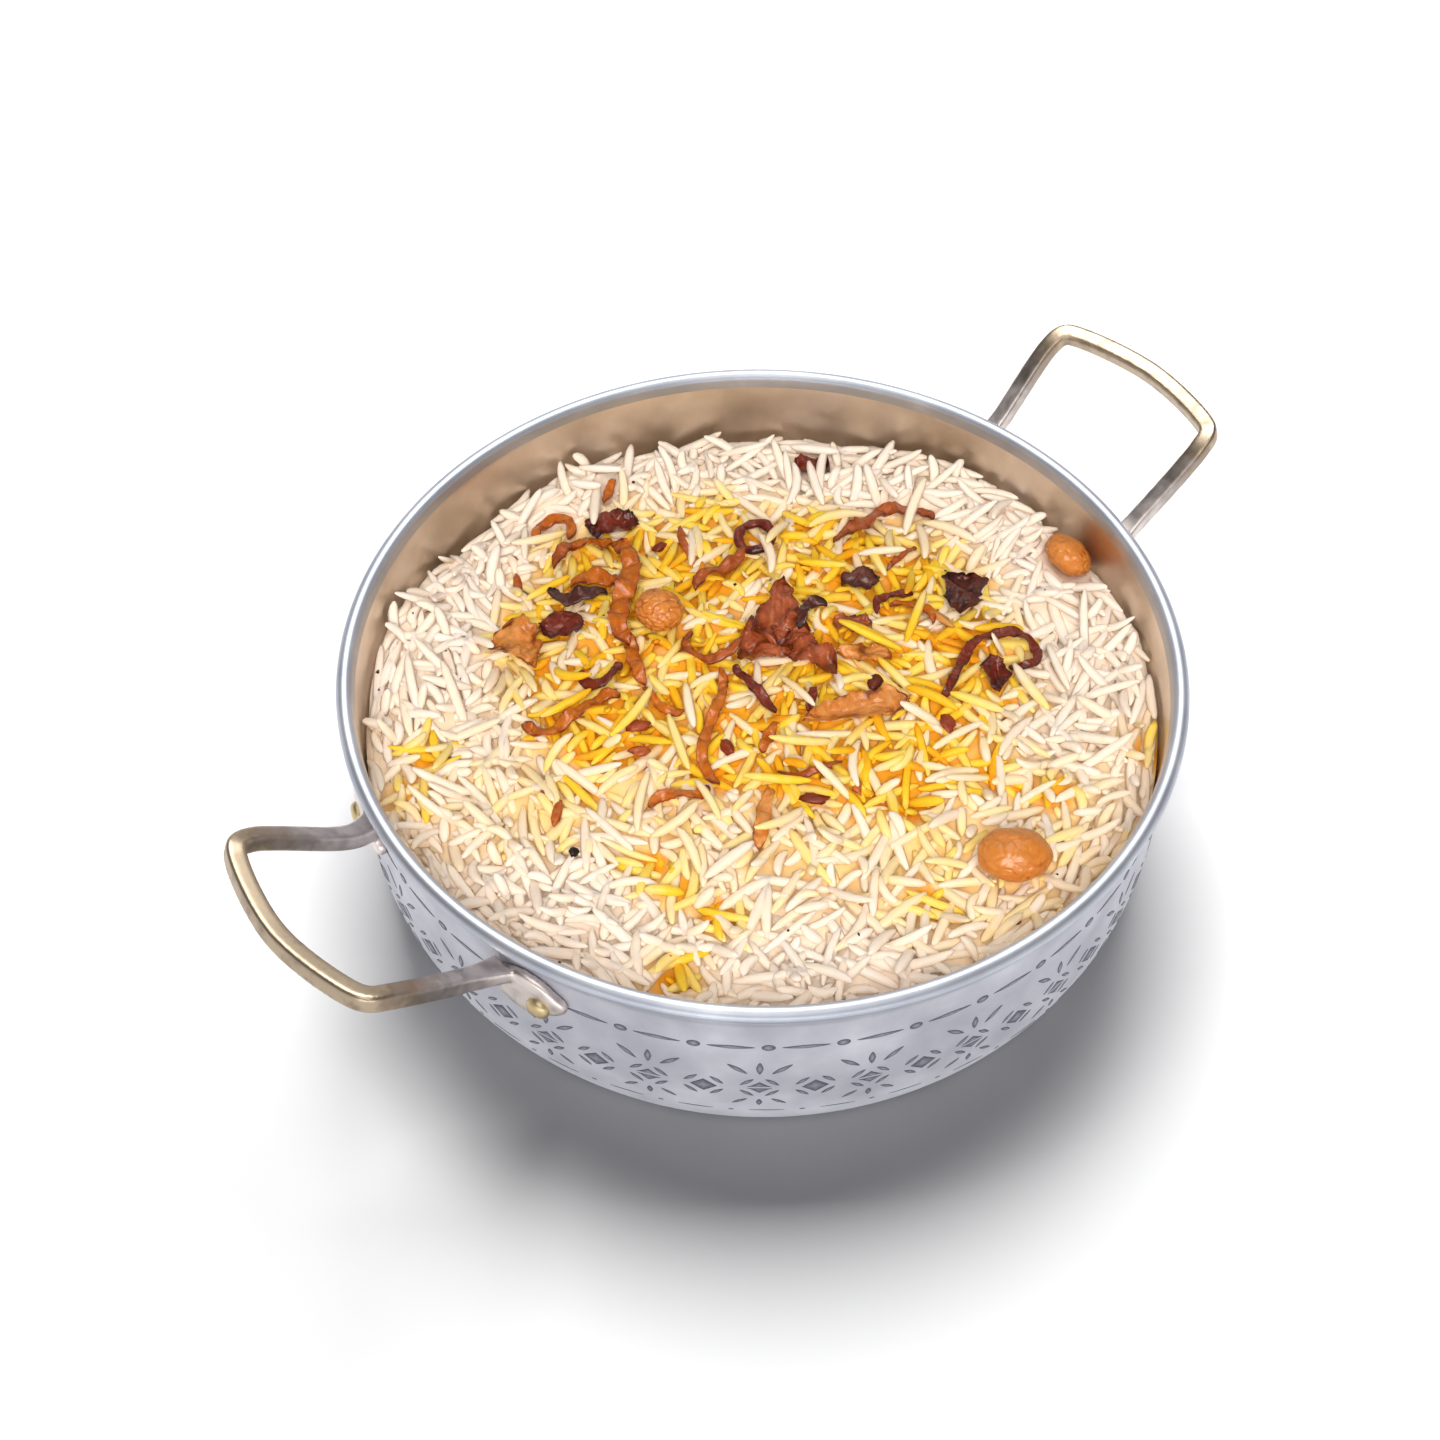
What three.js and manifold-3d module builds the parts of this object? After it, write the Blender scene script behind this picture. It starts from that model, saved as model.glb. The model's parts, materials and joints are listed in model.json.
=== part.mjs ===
// Two-handled serving pan of saffron-streaked rice topped with fried onion and raisins.
// Millimetres, +Z up. The origin is the centre of the pan's flat base and the handles lie along X.

import * as THREE from 'three';
import { mergeVertices } from 'three/addons/utils/BufferGeometryUtils.js';
import Module from 'manifold-3d';

const wasm = await Module();
wasm.setup();

// Pan: spun sheet with a barrel wall, a rolled rim and a flat base
const PAN_HEIGHT = 53.3;
const RIM_RADIUS = 90;
const RIM_BEAD = 3.4;
const SHEET = 1;
const BELLY_RADIUS = 88;
const BELLY_HEIGHT = 25;
const BASE_TUCK = 6.3;
const BASE_TUCK_POWER = 2.35;
const NECK_TUCK = 0.8;
const NECK_TUCK_POWER = 1.2;
const BASE_RADIUS = 78.7;
const BASE_CORNER = 1.6;
const PAN_SIDES = 46;
const OUTSIDE_HEIGHTS = [4.5, 8.5, 13, 19, 28, 40];
const INSIDE_HEIGHTS = [47, 32, 18, 8, 2.8];
const RIM_ARC = { from: -128, to: 175, steps: 7 };

// Handles: a bent bar whose two arms flare into oval feet riveted to the wall
const BAR = 4.8;
const BAR_CHAMFER = 1.35;
const BAR_STEPS = 30;
const ARM_SPREAD = 21.6;
const ARM_ROOT_HEIGHT = 43.2;
const ARM_STRAIGHT = 5;
const ARM_FLARE = 0.9;
const ARM_FLARE_LENGTH = 9;
const CORNER_REACH = 114.8;
const CORNER_SPREAD = 23.2;
const CORNER_ROUND = 3.6;
const GRIP_REACH = 119.6;
const GRIP_HEIGHT = 62;
const FOOT_LENGTH = 19;
const FOOT_HEIGHT = 12.4;
const FOOT_THICK = 2.2;
const FOOT_CENTRE_HEIGHT = 39.2;
const FOOT_END_ROUND = 0.55;
const FOOT_SIDE_ROUND = 0.22;
const RIVET_RADIUS = 2.6;
const RIVET_HEIGHT = 1.5;
const RIVET_SIDES = 8;
const RIVET_CENTRE_HEIGHT = 37.6;
const FOOT_ALONG_WALL = 28;
const RIVET_ALONG_WALL = 31.6;
const BOTH_SIDES = [1, -1];

// Clearance left between pieces that touch
const GAP = 0.3;

// Rice: a low mound, highest in the middle and lowest along the wall at LOW_SIDE degrees
const MOUND_HEIGHT = 41;
const EDGE_HEIGHT = 33.5;
const EDGE_SWING = 3.5;
const LOW_SIDE = 70;
const DENT = 0.8;
const RICE_SIDES = 30;
const RICE_RINGS = 5;
const RICE_WALL_HEIGHTS = [3.4, 8, 15, 24];
const GRAIN_COUNT = 280;
const GRAIN_DRAWS = 9000;
const GRAIN_LENGTH = 10.8;
const GRAIN_SHORTEST = 6;
const GRAIN_WIDTH = 2.8;
const GRAIN_HEIGHT = 1.5;
const GRAIN_RIDGE = 0.62;
const GRAIN_TILT = 5;
const GRAIN_SPACING = 2.7;
const SEED = 20;

// Raisins: centre, half sizes, turn about Z and lean towards the pan's axis, in degrees
const RAISINS = {
  raisin_front: { at: [8.6, -67.8, 43.4], half: [7.9, 6.2, 4.7], turn: -42, lean: 0 },
  raisin_middle: { at: [-4.6, 29.2, 44.8], half: [5.3, 5.8, 4.2], turn: 12, lean: 0 },
  raisin_back: { at: [79.6, -15.6, 40.6], half: [4.0, 6.3, 6.0], turn: -11, lean: 48 },
};
const WRINKLE = 0.05;

// Onion strips: start, first heading, length, how far the heading turns, and how that turn grows
const STRIP_THICK = 1.1;
const STRIP_TAPER = 0.45;
const STRIP_WAVE = 0.6;
const STRIP_WAVE_RATE = 0.55;
const STRIP_CUP = 0.35;
const STRIP_STEP = 3;
const STRIPS = [
  { at: [-7, 70], heading: 98, length: 19.5, turn: -265, width: 2.4 },
  { at: [-10.5, 60.5], heading: 28, length: 12, hook: -60, width: 2.4 },
  { at: [3, 56], heading: -67, length: 36, turn: -285, hook: 265, width: 4.4 },
  { at: [-17, 52], heading: -135, length: 15, turn: 300, hook: -200, width: 3.0, lift: 2.4 },
  { at: [-26.5, 28.5], heading: -159, length: 15, turn: 365, hook: -160, width: 2.0 },
  { at: [7.5, 31], heading: 55, length: 18, turn: -289, hook: 309, width: 2.8 },
  { at: [42.5, 23.5], heading: -13, length: 30, turn: 134, hook: -235, width: 2.9 },
  { at: [-1.5, 21], heading: -191, length: 29, turn: 461, hook: -235, width: 1.8 },
  { at: [-1.5, 7.5], heading: -98, length: 16, hook: 8, width: 2.2 },
  { at: [-4.5, 8.5], heading: -110, length: 33, turn: -190, hook: 225, width: 2.1 },
  { at: [33.5, -1], heading: 70, length: 13, turn: -185, hook: 60, width: 2.2 },
  { at: [37, -1.4], heading: 6, length: 14, turn: -148, width: 2.0 },
  { at: [26, -28], heading: 7, length: 47.5, turn: 196, hook: -463, width: 2.1 },
  { at: [-45, 26], heading: -119, length: 25.5, turn: 450, hook: -400, width: 2.5 },
  { at: [-20, 16], heading: -85, length: 12.5, turn: -99, hook: 175, width: 1.9 },
  { at: [-39, -10.5], heading: 72, length: 15.5, turn: -480, hook: 470, width: 2.4 },
  { at: [-5, -10.5], heading: -160, length: 9, turn: 20, width: 2.4 },
  { at: [-13.5, -20.5], heading: -55, length: 15, turn: 60, width: 1.5 },
  { at: [-17.5, -23], heading: -146, length: 15, turn: 12, width: 3.4 },
  { at: [7.5, -8.5], heading: -140, length: 6.5, width: 2.2 },
  { at: [12.5, 71], heading: 37, length: 9, width: 2.2 },
  { at: [46, 9], heading: 4, length: 11, turn: 8, width: 1.3 },
  { at: [13.5, 3.3], heading: 19, length: 12, turn: 138, hook: -250, width: 2.0, lift: 5.2 },
];

// Onion flakes: middle, heading, length, width at each end, and how far they ruffle and curl
const FLAKE_THICK = 1.1;
const FLAKE_TAPER = 0.4;
const FLAKE_BOW = 0.14;
const FLAKES = [
  { at: [8, 62], heading: -44, length: 12.5, widths: [9, 7.5], ruffle: 2.4, curl: 1.2 },
  { at: [-21.5, 43], heading: -40, length: 11, widths: [7, 8], ruffle: 1.8, curl: 0.8 },
  { at: [-32, 44.5], heading: -95, length: 15, widths: [12, 6], ruffle: 2.6, curl: 1.6 },
  { at: [13, 5], heading: 47, length: 25, widths: [19, 6], ruffle: 2.2, curl: 1.4 },
  { at: [27, 0.4], heading: -43, length: 9, widths: [4.5, 6], ruffle: 1.0, curl: 0.6 },
  { at: [37.6, 9], heading: -30, length: 9, widths: [5.5, 7], ruffle: 1.5, curl: 0.8 },
  { at: [53, -8.5], heading: 40, length: 12, widths: [8, 10], ruffle: 2.8, curl: 1.4 },
  { at: [41.5, -30], heading: 60, length: 9, widths: [4.5, 6], ruffle: 1.6, curl: 0.8 },
  { at: [22.5, -8], heading: -43, length: 12, widths: [4.2, 5.2], ruffle: 1.2, curl: 0.6 },
  { at: [9.4, -19.4], heading: -33, length: 22.5, widths: [4, 7], ruffle: 1.4, curl: 1.2 },
  { at: [58.4, 48.4], heading: -40, length: 9, widths: [6, 7], ruffle: 2.0, curl: 0.8 },
];

// Onion ring lying flat
const RING = { at: [29.8, 36.2], radius: 4.1, band: 1.15, height: 0.85 };

// Crumbs of onion and whole seeds that lie in the rice: place, heading, length and width
const CRUMBS = [
  [44.5, -9, -81, 10, 2], [19.5, -15, 20, 4.5, 3.4], [24, -33, 60, 5, 3.4], [-57, -7, 30, 2.4, 2.2],
  [-14, 70, 10, 3.6, 2.6], [-19, 63, 60, 7, 2.2], [11.6, 49, 0, 4, 2.4], [16.5, 46, 65, 11, 2.2],
  [-27, 9, -30, 6, 2.8], [-31, 3.5, -40, 4.4, 2.6], [-16.5, -8, 70, 4.6, 2.8], [-11.5, -30, -40, 6.4, 3],
  [-2.4, -33, 50, 5, 2.4], [0, -77, 0, 3, 2.6], [73, -4, 30, 5, 1.8], [42.4, 54.4, -20, 4, 2.6],
  [47, 50.5, 10, 3.4, 2.6], [-53, 8, 60, 4.4, 2], [-53.5, 3, 40, 7.4, 2.2], [79, 28, 10, 5, 3],
];

const METAL = { metalness: 1, roughness: 0.35 };
const MATERIALS = {
  steel: new THREE.MeshStandardMaterial({ color: 0xc4c6d0, ...METAL }),
  brass: new THREE.MeshStandardMaterial({ color: 0xb99a66, ...METAL }),
  rivetBrass: new THREE.MeshStandardMaterial({ color: 0xcdbb8c, ...METAL }),
  rice: new THREE.MeshStandardMaterial({ color: 0xf5e6c0, roughness: 0.6 }),
  raisin: new THREE.MeshStandardMaterial({ color: 0xcf7a3c, roughness: 0.4 }),
  onion: new THREE.MeshStandardMaterial({ color: 0xa34a22, roughness: 0.45 }),
};

const rad = THREE.MathUtils.degToRad;
const lerp = THREE.MathUtils.lerp;

// A closed geometry as a solid: shared corners merged, collapsed triangles dropped
function solidOf(geometry) {
  const bare = geometry.clone();
  bare.deleteAttribute('normal');
  bare.deleteAttribute('uv');
  const merged = mergeVertices(bare, 1e-4);
  const corners = merged.index.array;
  const triVerts = [];
  for (let i = 0; i < corners.length; i += 3) {
    const [a, b, c] = corners.slice(i, i + 3);
    if (a !== b && b !== c && c !== a) triVerts.push(a, b, c);
  }
  return new wasm.Manifold(new wasm.Mesh({
    numProp: 3,
    vertProperties: new Float32Array(merged.attributes.position.array),
    triVerts: new Uint32Array(triVerts),
  }));
}

function geometryOf(solid) {
  const mesh = solid.getMesh();
  const geometry = new THREE.BufferGeometry();
  geometry.setAttribute('position', new THREE.BufferAttribute(mesh.vertProperties, mesh.numProp));
  geometry.setIndex(new THREE.BufferAttribute(mesh.triVerts, 1));
  geometry.computeVertexNormals();
  return geometry;
}

function named(name, geometry, material) {
  const mesh = new THREE.Mesh(geometry, material);
  mesh.name = name;
  return mesh;
}

// Moves every corner of a geometry to where place(corner) says
function reshape(geometry, place) {
  const position = geometry.attributes.position;
  const corner = new THREE.Vector3();
  for (let i = 0; i < position.count; i += 1) {
    corner.fromBufferAttribute(position, i);
    place(corner);
    position.setXYZ(i, corner.x, corner.y, corner.z);
  }
  return geometry;
}

// A profile of radius and height turned about Z
function turned(profile, sides) {
  return new THREE.LatheGeometry(profile, sides).rotateX(Math.PI / 2);
}

// Repeatable random numbers from 0 to 1
function seededRandom(seed) {
  let state = seed;
  return () => {
    state = (state + 0x6d2b79f5) | 0;
    let mixed = Math.imul(state ^ (state >>> 15), 1 | state);
    mixed = (mixed + Math.imul(mixed ^ (mixed >>> 7), 61 | mixed)) ^ mixed;
    return ((mixed ^ (mixed >>> 14)) >>> 0) / 4294967296;
  };
}

// Outside radius of the pan's wall: widest at the belly, tucked in below it and a little above it
function wallRadius(z) {
  if (z < BELLY_HEIGHT) {
    return BELLY_RADIUS - BASE_TUCK * ((BELLY_HEIGHT - z) / BELLY_HEIGHT) ** BASE_TUCK_POWER;
  }
  return BELLY_RADIUS - NECK_TUCK * ((z - BELLY_HEIGHT) / (PAN_HEIGHT - BELLY_HEIGHT)) ** NECK_TUCK_POWER;
}

function panProfile() {
  const bead = RIM_BEAD / 2;
  const beadHeight = PAN_HEIGHT - bead;
  const at = (radius, z) => new THREE.Vector2(radius, z);
  const corner = new THREE.QuadraticBezierCurve(
    at(BASE_RADIUS, 0), at(wallRadius(0), 0), at(wallRadius(BASE_CORNER), BASE_CORNER));
  const rim = new THREE.EllipseCurve(
    RIM_RADIUS - bead, beadHeight, bead, bead, rad(RIM_ARC.from), rad(RIM_ARC.to), false);
  const outside = OUTSIDE_HEIGHTS.map((z) => at(wallRadius(z), z));
  const inside = INSIDE_HEIGHTS.map((z) => at(wallRadius(z) - SHEET, z));
  return [
    at(0, 0), ...corner.getPoints(2), ...outside, ...rim.getPoints(RIM_ARC.steps), ...inside,
    at(BASE_RADIUS - SHEET, SHEET), at(0, SHEET),
  ];
}

// How far out along X an arm starts, in the middle of its foot's thickness
function rootReach() {
  const rootRadius = wallRadius(ARM_ROOT_HEIGHT) + GAP + FOOT_THICK / 2;
  return Math.sqrt(rootRadius ** 2 - ARM_SPREAD ** 2);
}

// Centre line of the bar from one foot round the grip to the other
function barPath() {
  const half = [
    [rootReach(), ARM_SPREAD, ARM_ROOT_HEIGHT],
    [rootReach() + ARM_STRAIGHT, ARM_SPREAD, ARM_ROOT_HEIGHT + ARM_STRAIGHT / 3],
    [CORNER_REACH - CORNER_ROUND, CORNER_SPREAD, GRIP_HEIGHT - CORNER_ROUND / 2],
    [CORNER_REACH, CORNER_SPREAD, GRIP_HEIGHT],
    [CORNER_REACH + CORNER_ROUND / 3, CORNER_SPREAD - CORNER_ROUND, GRIP_HEIGHT],
  ].map(([x, y, z]) => new THREE.Vector3(x, y, z));
  const other = half.map((point) => new THREE.Vector3(point.x, -point.y, point.z)).reverse();
  const middle = new THREE.Vector3(GRIP_REACH, 0, GRIP_HEIGHT);
  return new THREE.CatmullRomCurve3([...half, middle, ...other]);
}

// Square bar section with cut corners
function barSection() {
  const half = BAR / 2;
  const cut = half - BAR_CHAMFER;
  const section = new THREE.Shape();
  section.moveTo(half, -cut);
  [[half, cut], [cut, half], [-cut, half], [-half, cut], [-half, -cut], [-cut, -half], [cut, -half]]
    .forEach(([x, y]) => section.lineTo(x, y));
  return section;
}

// The bar bent along its path, each arm spreading outwards as it nears the wall
function barGeometry() {
  const bar = new THREE.ExtrudeGeometry(barSection(), { steps: BAR_STEPS, extrudePath: barPath() });
  return reshape(bar, (corner) => {
    const nearness = Math.max(0, 1 - (corner.x - rootReach()) / ARM_FLARE_LENGTH);
    const outwards = Math.max(0, Math.abs(corner.y) - ARM_SPREAD);
    corner.y += Math.sign(corner.y) * outwards * ARM_FLARE * nearness ** 2;
  });
}

// Oval plate that follows the curve of the wall, centred a signed distance along it
function footPlate(alongWall) {
  const plate = new THREE.BoxGeometry(2, 2, 1, 5, 4, 1);
  return reshape(plate, (corner) => {
    const along = corner.x * (FOOT_LENGTH / 2) * (1 - FOOT_SIDE_ROUND * corner.y ** 2);
    const up = corner.y * (FOOT_HEIGHT / 2) * (1 - FOOT_END_ROUND * corner.x ** 2);
    const depth = (corner.z + 0.5) * FOOT_THICK;
    const z = FOOT_CENTRE_HEIGHT + up;
    const radius = wallRadius(z) + GAP + depth;
    const angle = (alongWall + along) / RIM_RADIUS;
    corner.set(radius * Math.cos(angle), radius * Math.sin(angle), z);
  });
}

function handleGeometry() {
  const feet = BOTH_SIDES.map((side) => solidOf(footPlate(side * FOOT_ALONG_WALL)));
  return geometryOf(wasm.Manifold.union([solidOf(barGeometry()), ...feet]));
}

// A low domed head
function rivetGeometry() {
  const profile = [[0, 0], [1, 0], [0.95, 0.35], [0.62, 0.82], [0, 1]]
    .map(([radius, z]) => new THREE.Vector2(radius * RIVET_RADIUS, z * RIVET_HEIGHT));
  return turned(profile, RIVET_SIDES);
}

// One handle with its two rivets, built on the +X side
function handleGroup(side, turnAbout) {
  const group = new THREE.Group();
  group.rotation.z = turnAbout;
  group.add(named(`handle_${side}`, handleGeometry(), MATERIALS.brass));
  BOTH_SIDES.forEach((sign, i) => {
    const rivet = named(`rivet_${side}_${i + 1}`, rivetGeometry(), MATERIALS.rivetBrass);
    const angle = (sign * RIVET_ALONG_WALL) / RIM_RADIUS;
    const radius = wallRadius(RIVET_CENTRE_HEIGHT) + FOOT_THICK + 2 * GAP;
    rivet.position.set(radius * Math.cos(angle), radius * Math.sin(angle), RIVET_CENTRE_HEIGHT);
    rivet.rotation.set(0, Math.PI / 2, angle, 'ZYX');
    group.add(rivet);
  });
  return group;
}

// Widest the rice can be at a height, clear of the pan's inside
function riceRadius(z) {
  return wallRadius(z) - SHEET - GAP;
}

// Height of the bare mound
function riceTop(x, y) {
  const spread = Math.hypot(x, y) / riceRadius(EDGE_HEIGHT);
  const edge = EDGE_HEIGHT - EDGE_SWING * Math.cos(Math.atan2(y, x) - rad(LOW_SIDE));
  return MOUND_HEIGHT + (edge - MOUND_HEIGHT) * spread ** 2;
}

// Depth of the hollows between the heaped grains, from 0 to DENT
function dent(x, y) {
  const along = 0.3 * x + 1.5 * Math.sin(0.16 * y);
  const across = 0.33 * y - 1.3 * Math.sin(0.14 * x);
  return DENT * (0.5 + 0.5 * Math.sin(along) * Math.cos(across));
}

function riceCore() {
  const lowest = SHEET + GAP;
  const edgeRadius = riceRadius(EDGE_HEIGHT);
  const lower = RICE_WALL_HEIGHTS.map((z) => new THREE.Vector2(riceRadius(z) - GAP, z));
  const upper = Array.from({ length: RICE_RINGS }, (_, ring) => {
    const radius = edgeRadius * (1 - ring / RICE_RINGS);
    return new THREE.Vector2(radius, EDGE_HEIGHT + ring);
  });
  const profile = [
    new THREE.Vector2(0, lowest), new THREE.Vector2(BASE_RADIUS - 3 * SHEET, lowest),
    ...lower, ...upper, new THREE.Vector2(0, MOUND_HEIGHT),
  ];
  return reshape(turned(profile, RICE_SIDES), (corner) => {
    if (corner.z >= EDGE_HEIGHT) corner.z = riceTop(corner.x, corner.y) - dent(corner.x, corner.y);
  });
}

// A grain lies along X, rising from a sunken base to a short ridge
function grainGeometry(length, width) {
  return reshape(new THREE.BoxGeometry(1, 1, 1), (corner) => {
    if (corner.z > 0) corner.set(GRAIN_RIDGE * length * corner.x, 0, GRAIN_HEIGHT);
    else corner.set(length * corner.x, width * corner.y, -GRAIN_HEIGHT);
  });
}

// A grain set down on the mound
function laidGrain({ x, y, heading, tilt, length, width }) {
  const placed = new THREE.Matrix4().makeRotationFromEuler(new THREE.Euler(0, tilt, heading, 'ZYX'));
  placed.setPosition(x, y, riceTop(x, y) - dent(x, y));
  return solidOf(grainGeometry(length, width).applyMatrix4(placed));
}

// Whether a grain stays clear of the pan and the toppings
function isClear(grain, obstacles) {
  const swollen = { ...grain, length: grain.length + 2 * GAP, width: grain.width + 2 * GAP };
  return laidGrain(swollen).intersect(obstacles).isEmpty();
}

// Points along the middle of a grain, in plan
function spineOf({ x, y, heading, length }) {
  return [-0.45, -0.22, 0, 0.22, 0.45].map((part) => [
    x + part * length * Math.cos(heading), y + part * length * Math.sin(heading)]);
}

function areApart(spine, other) {
  return spine.every(([x, y]) => other.every(([u, v]) => Math.hypot(x - u, y - v) > GRAIN_SPACING));
}

// Grains drawn at random over the mound, long ones first, each kept if it finds a free place
function scatteredGrains(obstacles) {
  const random = seededRandom(SEED);
  const grains = CRUMBS.map(([x, y, heading, length, width]) => (
    { x, y, heading: rad(heading), tilt: 0, length, width })).filter((crumb) => isClear(crumb, obstacles));
  const spines = grains.map(spineOf);
  for (let draw = 0; draw < GRAIN_DRAWS && grains.length < GRAIN_COUNT; draw += 1) {
    const radius = riceRadius(EDGE_HEIGHT) * Math.sqrt(random());
    const angle = 2 * Math.PI * random();
    const grain = {
      x: radius * Math.cos(angle),
      y: radius * Math.sin(angle),
      heading: 2 * Math.PI * random(),
      tilt: rad(GRAIN_TILT) * (2 * random() - 1),
      length: lerp(GRAIN_LENGTH, GRAIN_SHORTEST, draw / GRAIN_DRAWS),
      width: GRAIN_WIDTH,
    };
    const spine = spineOf(grain);
    if (spines.every((other) => areApart(spine, other)) && isClear(grain, obstacles)) {
      grains.push(grain);
      spines.push(spine);
    }
  }
  return grains;
}

// The core with crumbs and grains fused on
function riceGeometry(obstacles) {
  const pieces = scatteredGrains(obstacles).map(laidGrain);
  const bodies = wasm.Manifold.union([solidOf(riceCore()), ...pieces]).decompose();
  return geometryOf(bodies.sort((a, b) => b.volume() - a.volume())[0]);
}

// Plan curve whose heading turns evenly and then faster or slower, laid on the mound
class Curl extends THREE.Curve {
  constructor({ at, heading, length, turn = 0, hook = 0 }) {
    super();
    this.start = at;
    this.length = length;
    this.headingAt = (t) => rad(heading + turn * t + hook * t * t);
  }

  getPoint(t, target = new THREE.Vector3()) {
    const steps = 24;
    let [x, y] = this.start;
    for (let i = 0; i < steps; i += 1) {
      const heading = this.headingAt((t * (i + 0.5)) / steps);
      x += (Math.cos(heading) * this.length * t) / steps;
      y += (Math.sin(heading) * this.length * t) / steps;
    }
    return target.set(x, y, riceTop(x, y));
  }
}

// A fried strip: tapered at both ends, cupped across and wavy along
function stripGeometry(strip) {
  const curl = new Curl(strip);
  const steps = Math.max(5, Math.round(strip.length / STRIP_STEP));
  const ribbon = new THREE.BoxGeometry(1, 2, 1, steps, strip.width > 2.5 ? 2 : 1, 1);
  return reshape(ribbon, (corner) => {
    const t = corner.x + 0.5;
    const heading = curl.headingAt(t);
    const middle = curl.getPoint(t);
    const across = corner.y * (strip.width / 2) * (1 - STRIP_TAPER * Math.abs(2 * t - 1) ** 4);
    const x = middle.x - Math.sin(heading) * across;
    const y = middle.y + Math.cos(heading) * across;
    const wave = STRIP_WAVE * (1 + Math.sin(STRIP_WAVE_RATE * strip.length * t + strip.length));
    const cup = STRIP_CUP * corner.y ** 2;
    const under = riceTop(x, y) + GAP + (strip.lift ?? 0) + wave + cup;
    corner.set(x, y, under + (corner.z + 0.5) * STRIP_THICK);
  });
}

// A fried flake: a rounded sheet, ruffled all over and curled up at its long sides
function flakeGeometry(flake, index) {
  const heading = rad(flake.heading);
  const sheet = new THREE.BoxGeometry(1, 2, 1, 5, 3, 1);
  return reshape(sheet, (corner) => {
    const t = corner.x + 0.5;
    const side = corner.y;
    const ends = Math.abs(2 * t - 1) ** 4;
    const along = (t - 0.5) * flake.length * (1 - FLAKE_BOW * side ** 2);
    const across = side * 0.5 * lerp(flake.widths[0], flake.widths[1], t) * (1 - FLAKE_TAPER * ends);
    const x = flake.at[0] + Math.cos(heading) * along - Math.sin(heading) * across;
    const y = flake.at[1] + Math.sin(heading) * along + Math.cos(heading) * across;
    const wave = Math.sin(6.5 * t + 2 * index) * Math.cos(2.3 * side + index);
    const under = riceTop(x, y) + GAP + 0.5 * flake.ruffle * (1 + wave) + flake.curl * side ** 2;
    corner.set(x, y, under + (corner.z + 0.5) * FLAKE_THICK);
  });
}

// A raisin: a flattened ball with shallow wrinkles
function raisinGeometry([a, b, c]) {
  return reshape(new THREE.SphereGeometry(1, 11, 7), (corner) => {
    const folds = Math.sin(5 * corner.x + 2 * corner.y) * Math.cos(6 * corner.y + 3 * corner.z);
    corner.multiplyScalar(1 - WRINKLE * (1 + folds)).multiply(new THREE.Vector3(a, b, c));
  });
}

function toppings() {
  const group = new THREE.Group();
  Object.entries(RAISINS).forEach(([name, { at, half, turn, lean }]) => {
    const raisin = named(name, raisinGeometry(half), MATERIALS.raisin);
    raisin.position.set(...at);
    raisin.rotation.set(0, rad(-lean), rad(turn), 'ZYX');
    group.add(raisin);
  });
  const ring = named('onion_ring', new THREE.TorusGeometry(RING.radius, RING.band, 5, 11), MATERIALS.onion);
  ring.geometry.scale(1, 1, RING.height);
  ring.position.set(...RING.at, riceTop(...RING.at) + 2 * GAP + RING.band * RING.height);
  group.add(ring);
  const addOnion = (kind, index, geometry) => {
    const name = `onion_${kind}_${String(index + 1).padStart(2, '0')}`;
    group.add(named(name, geometry, MATERIALS.onion));
  };
  STRIPS.forEach((strip, i) => addOnion('strip', i, stripGeometry(strip)));
  FLAKES.forEach((flake, i) => addOnion('flake', i, flakeGeometry(flake, i)));
  return group;
}

// Everything in a group as one list of solids at their places
function placedSolids(group) {
  const solids = [];
  group.updateMatrixWorld(true);
  group.traverse((child) => {
    if (child.isMesh) solids.push(solidOf(child.geometry.clone().applyMatrix4(child.matrixWorld)));
  });
  return solids;
}

const pan = new THREE.Group();
pan.add(named('bowl', turned(panProfile(), PAN_SIDES), MATERIALS.steel));
pan.add(handleGroup('right', 0), handleGroup('left', Math.PI));

const dish = new THREE.Group();
const garnish = toppings();
const obstacles = wasm.Manifold.union([...placedSolids(pan), ...placedSolids(garnish)]);
dish.add(pan, garnish, named('rice', riceGeometry(obstacles), MATERIALS.rice));

export default dish;
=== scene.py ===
"""Looks of a two-handled serving pan of saffron rice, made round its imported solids.

Sizes are in millimetres, and put_piece turns them to metres. +Z is up, the origin is the centre of the pan's
flat base, and the handles lie along X.
"""

import json
import logging
import math
from dataclasses import dataclass, field
from enum import Enum
from typing import Any, ClassVar

import bpy
import numpy as np
from mathutils import Matrix, Vector

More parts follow.
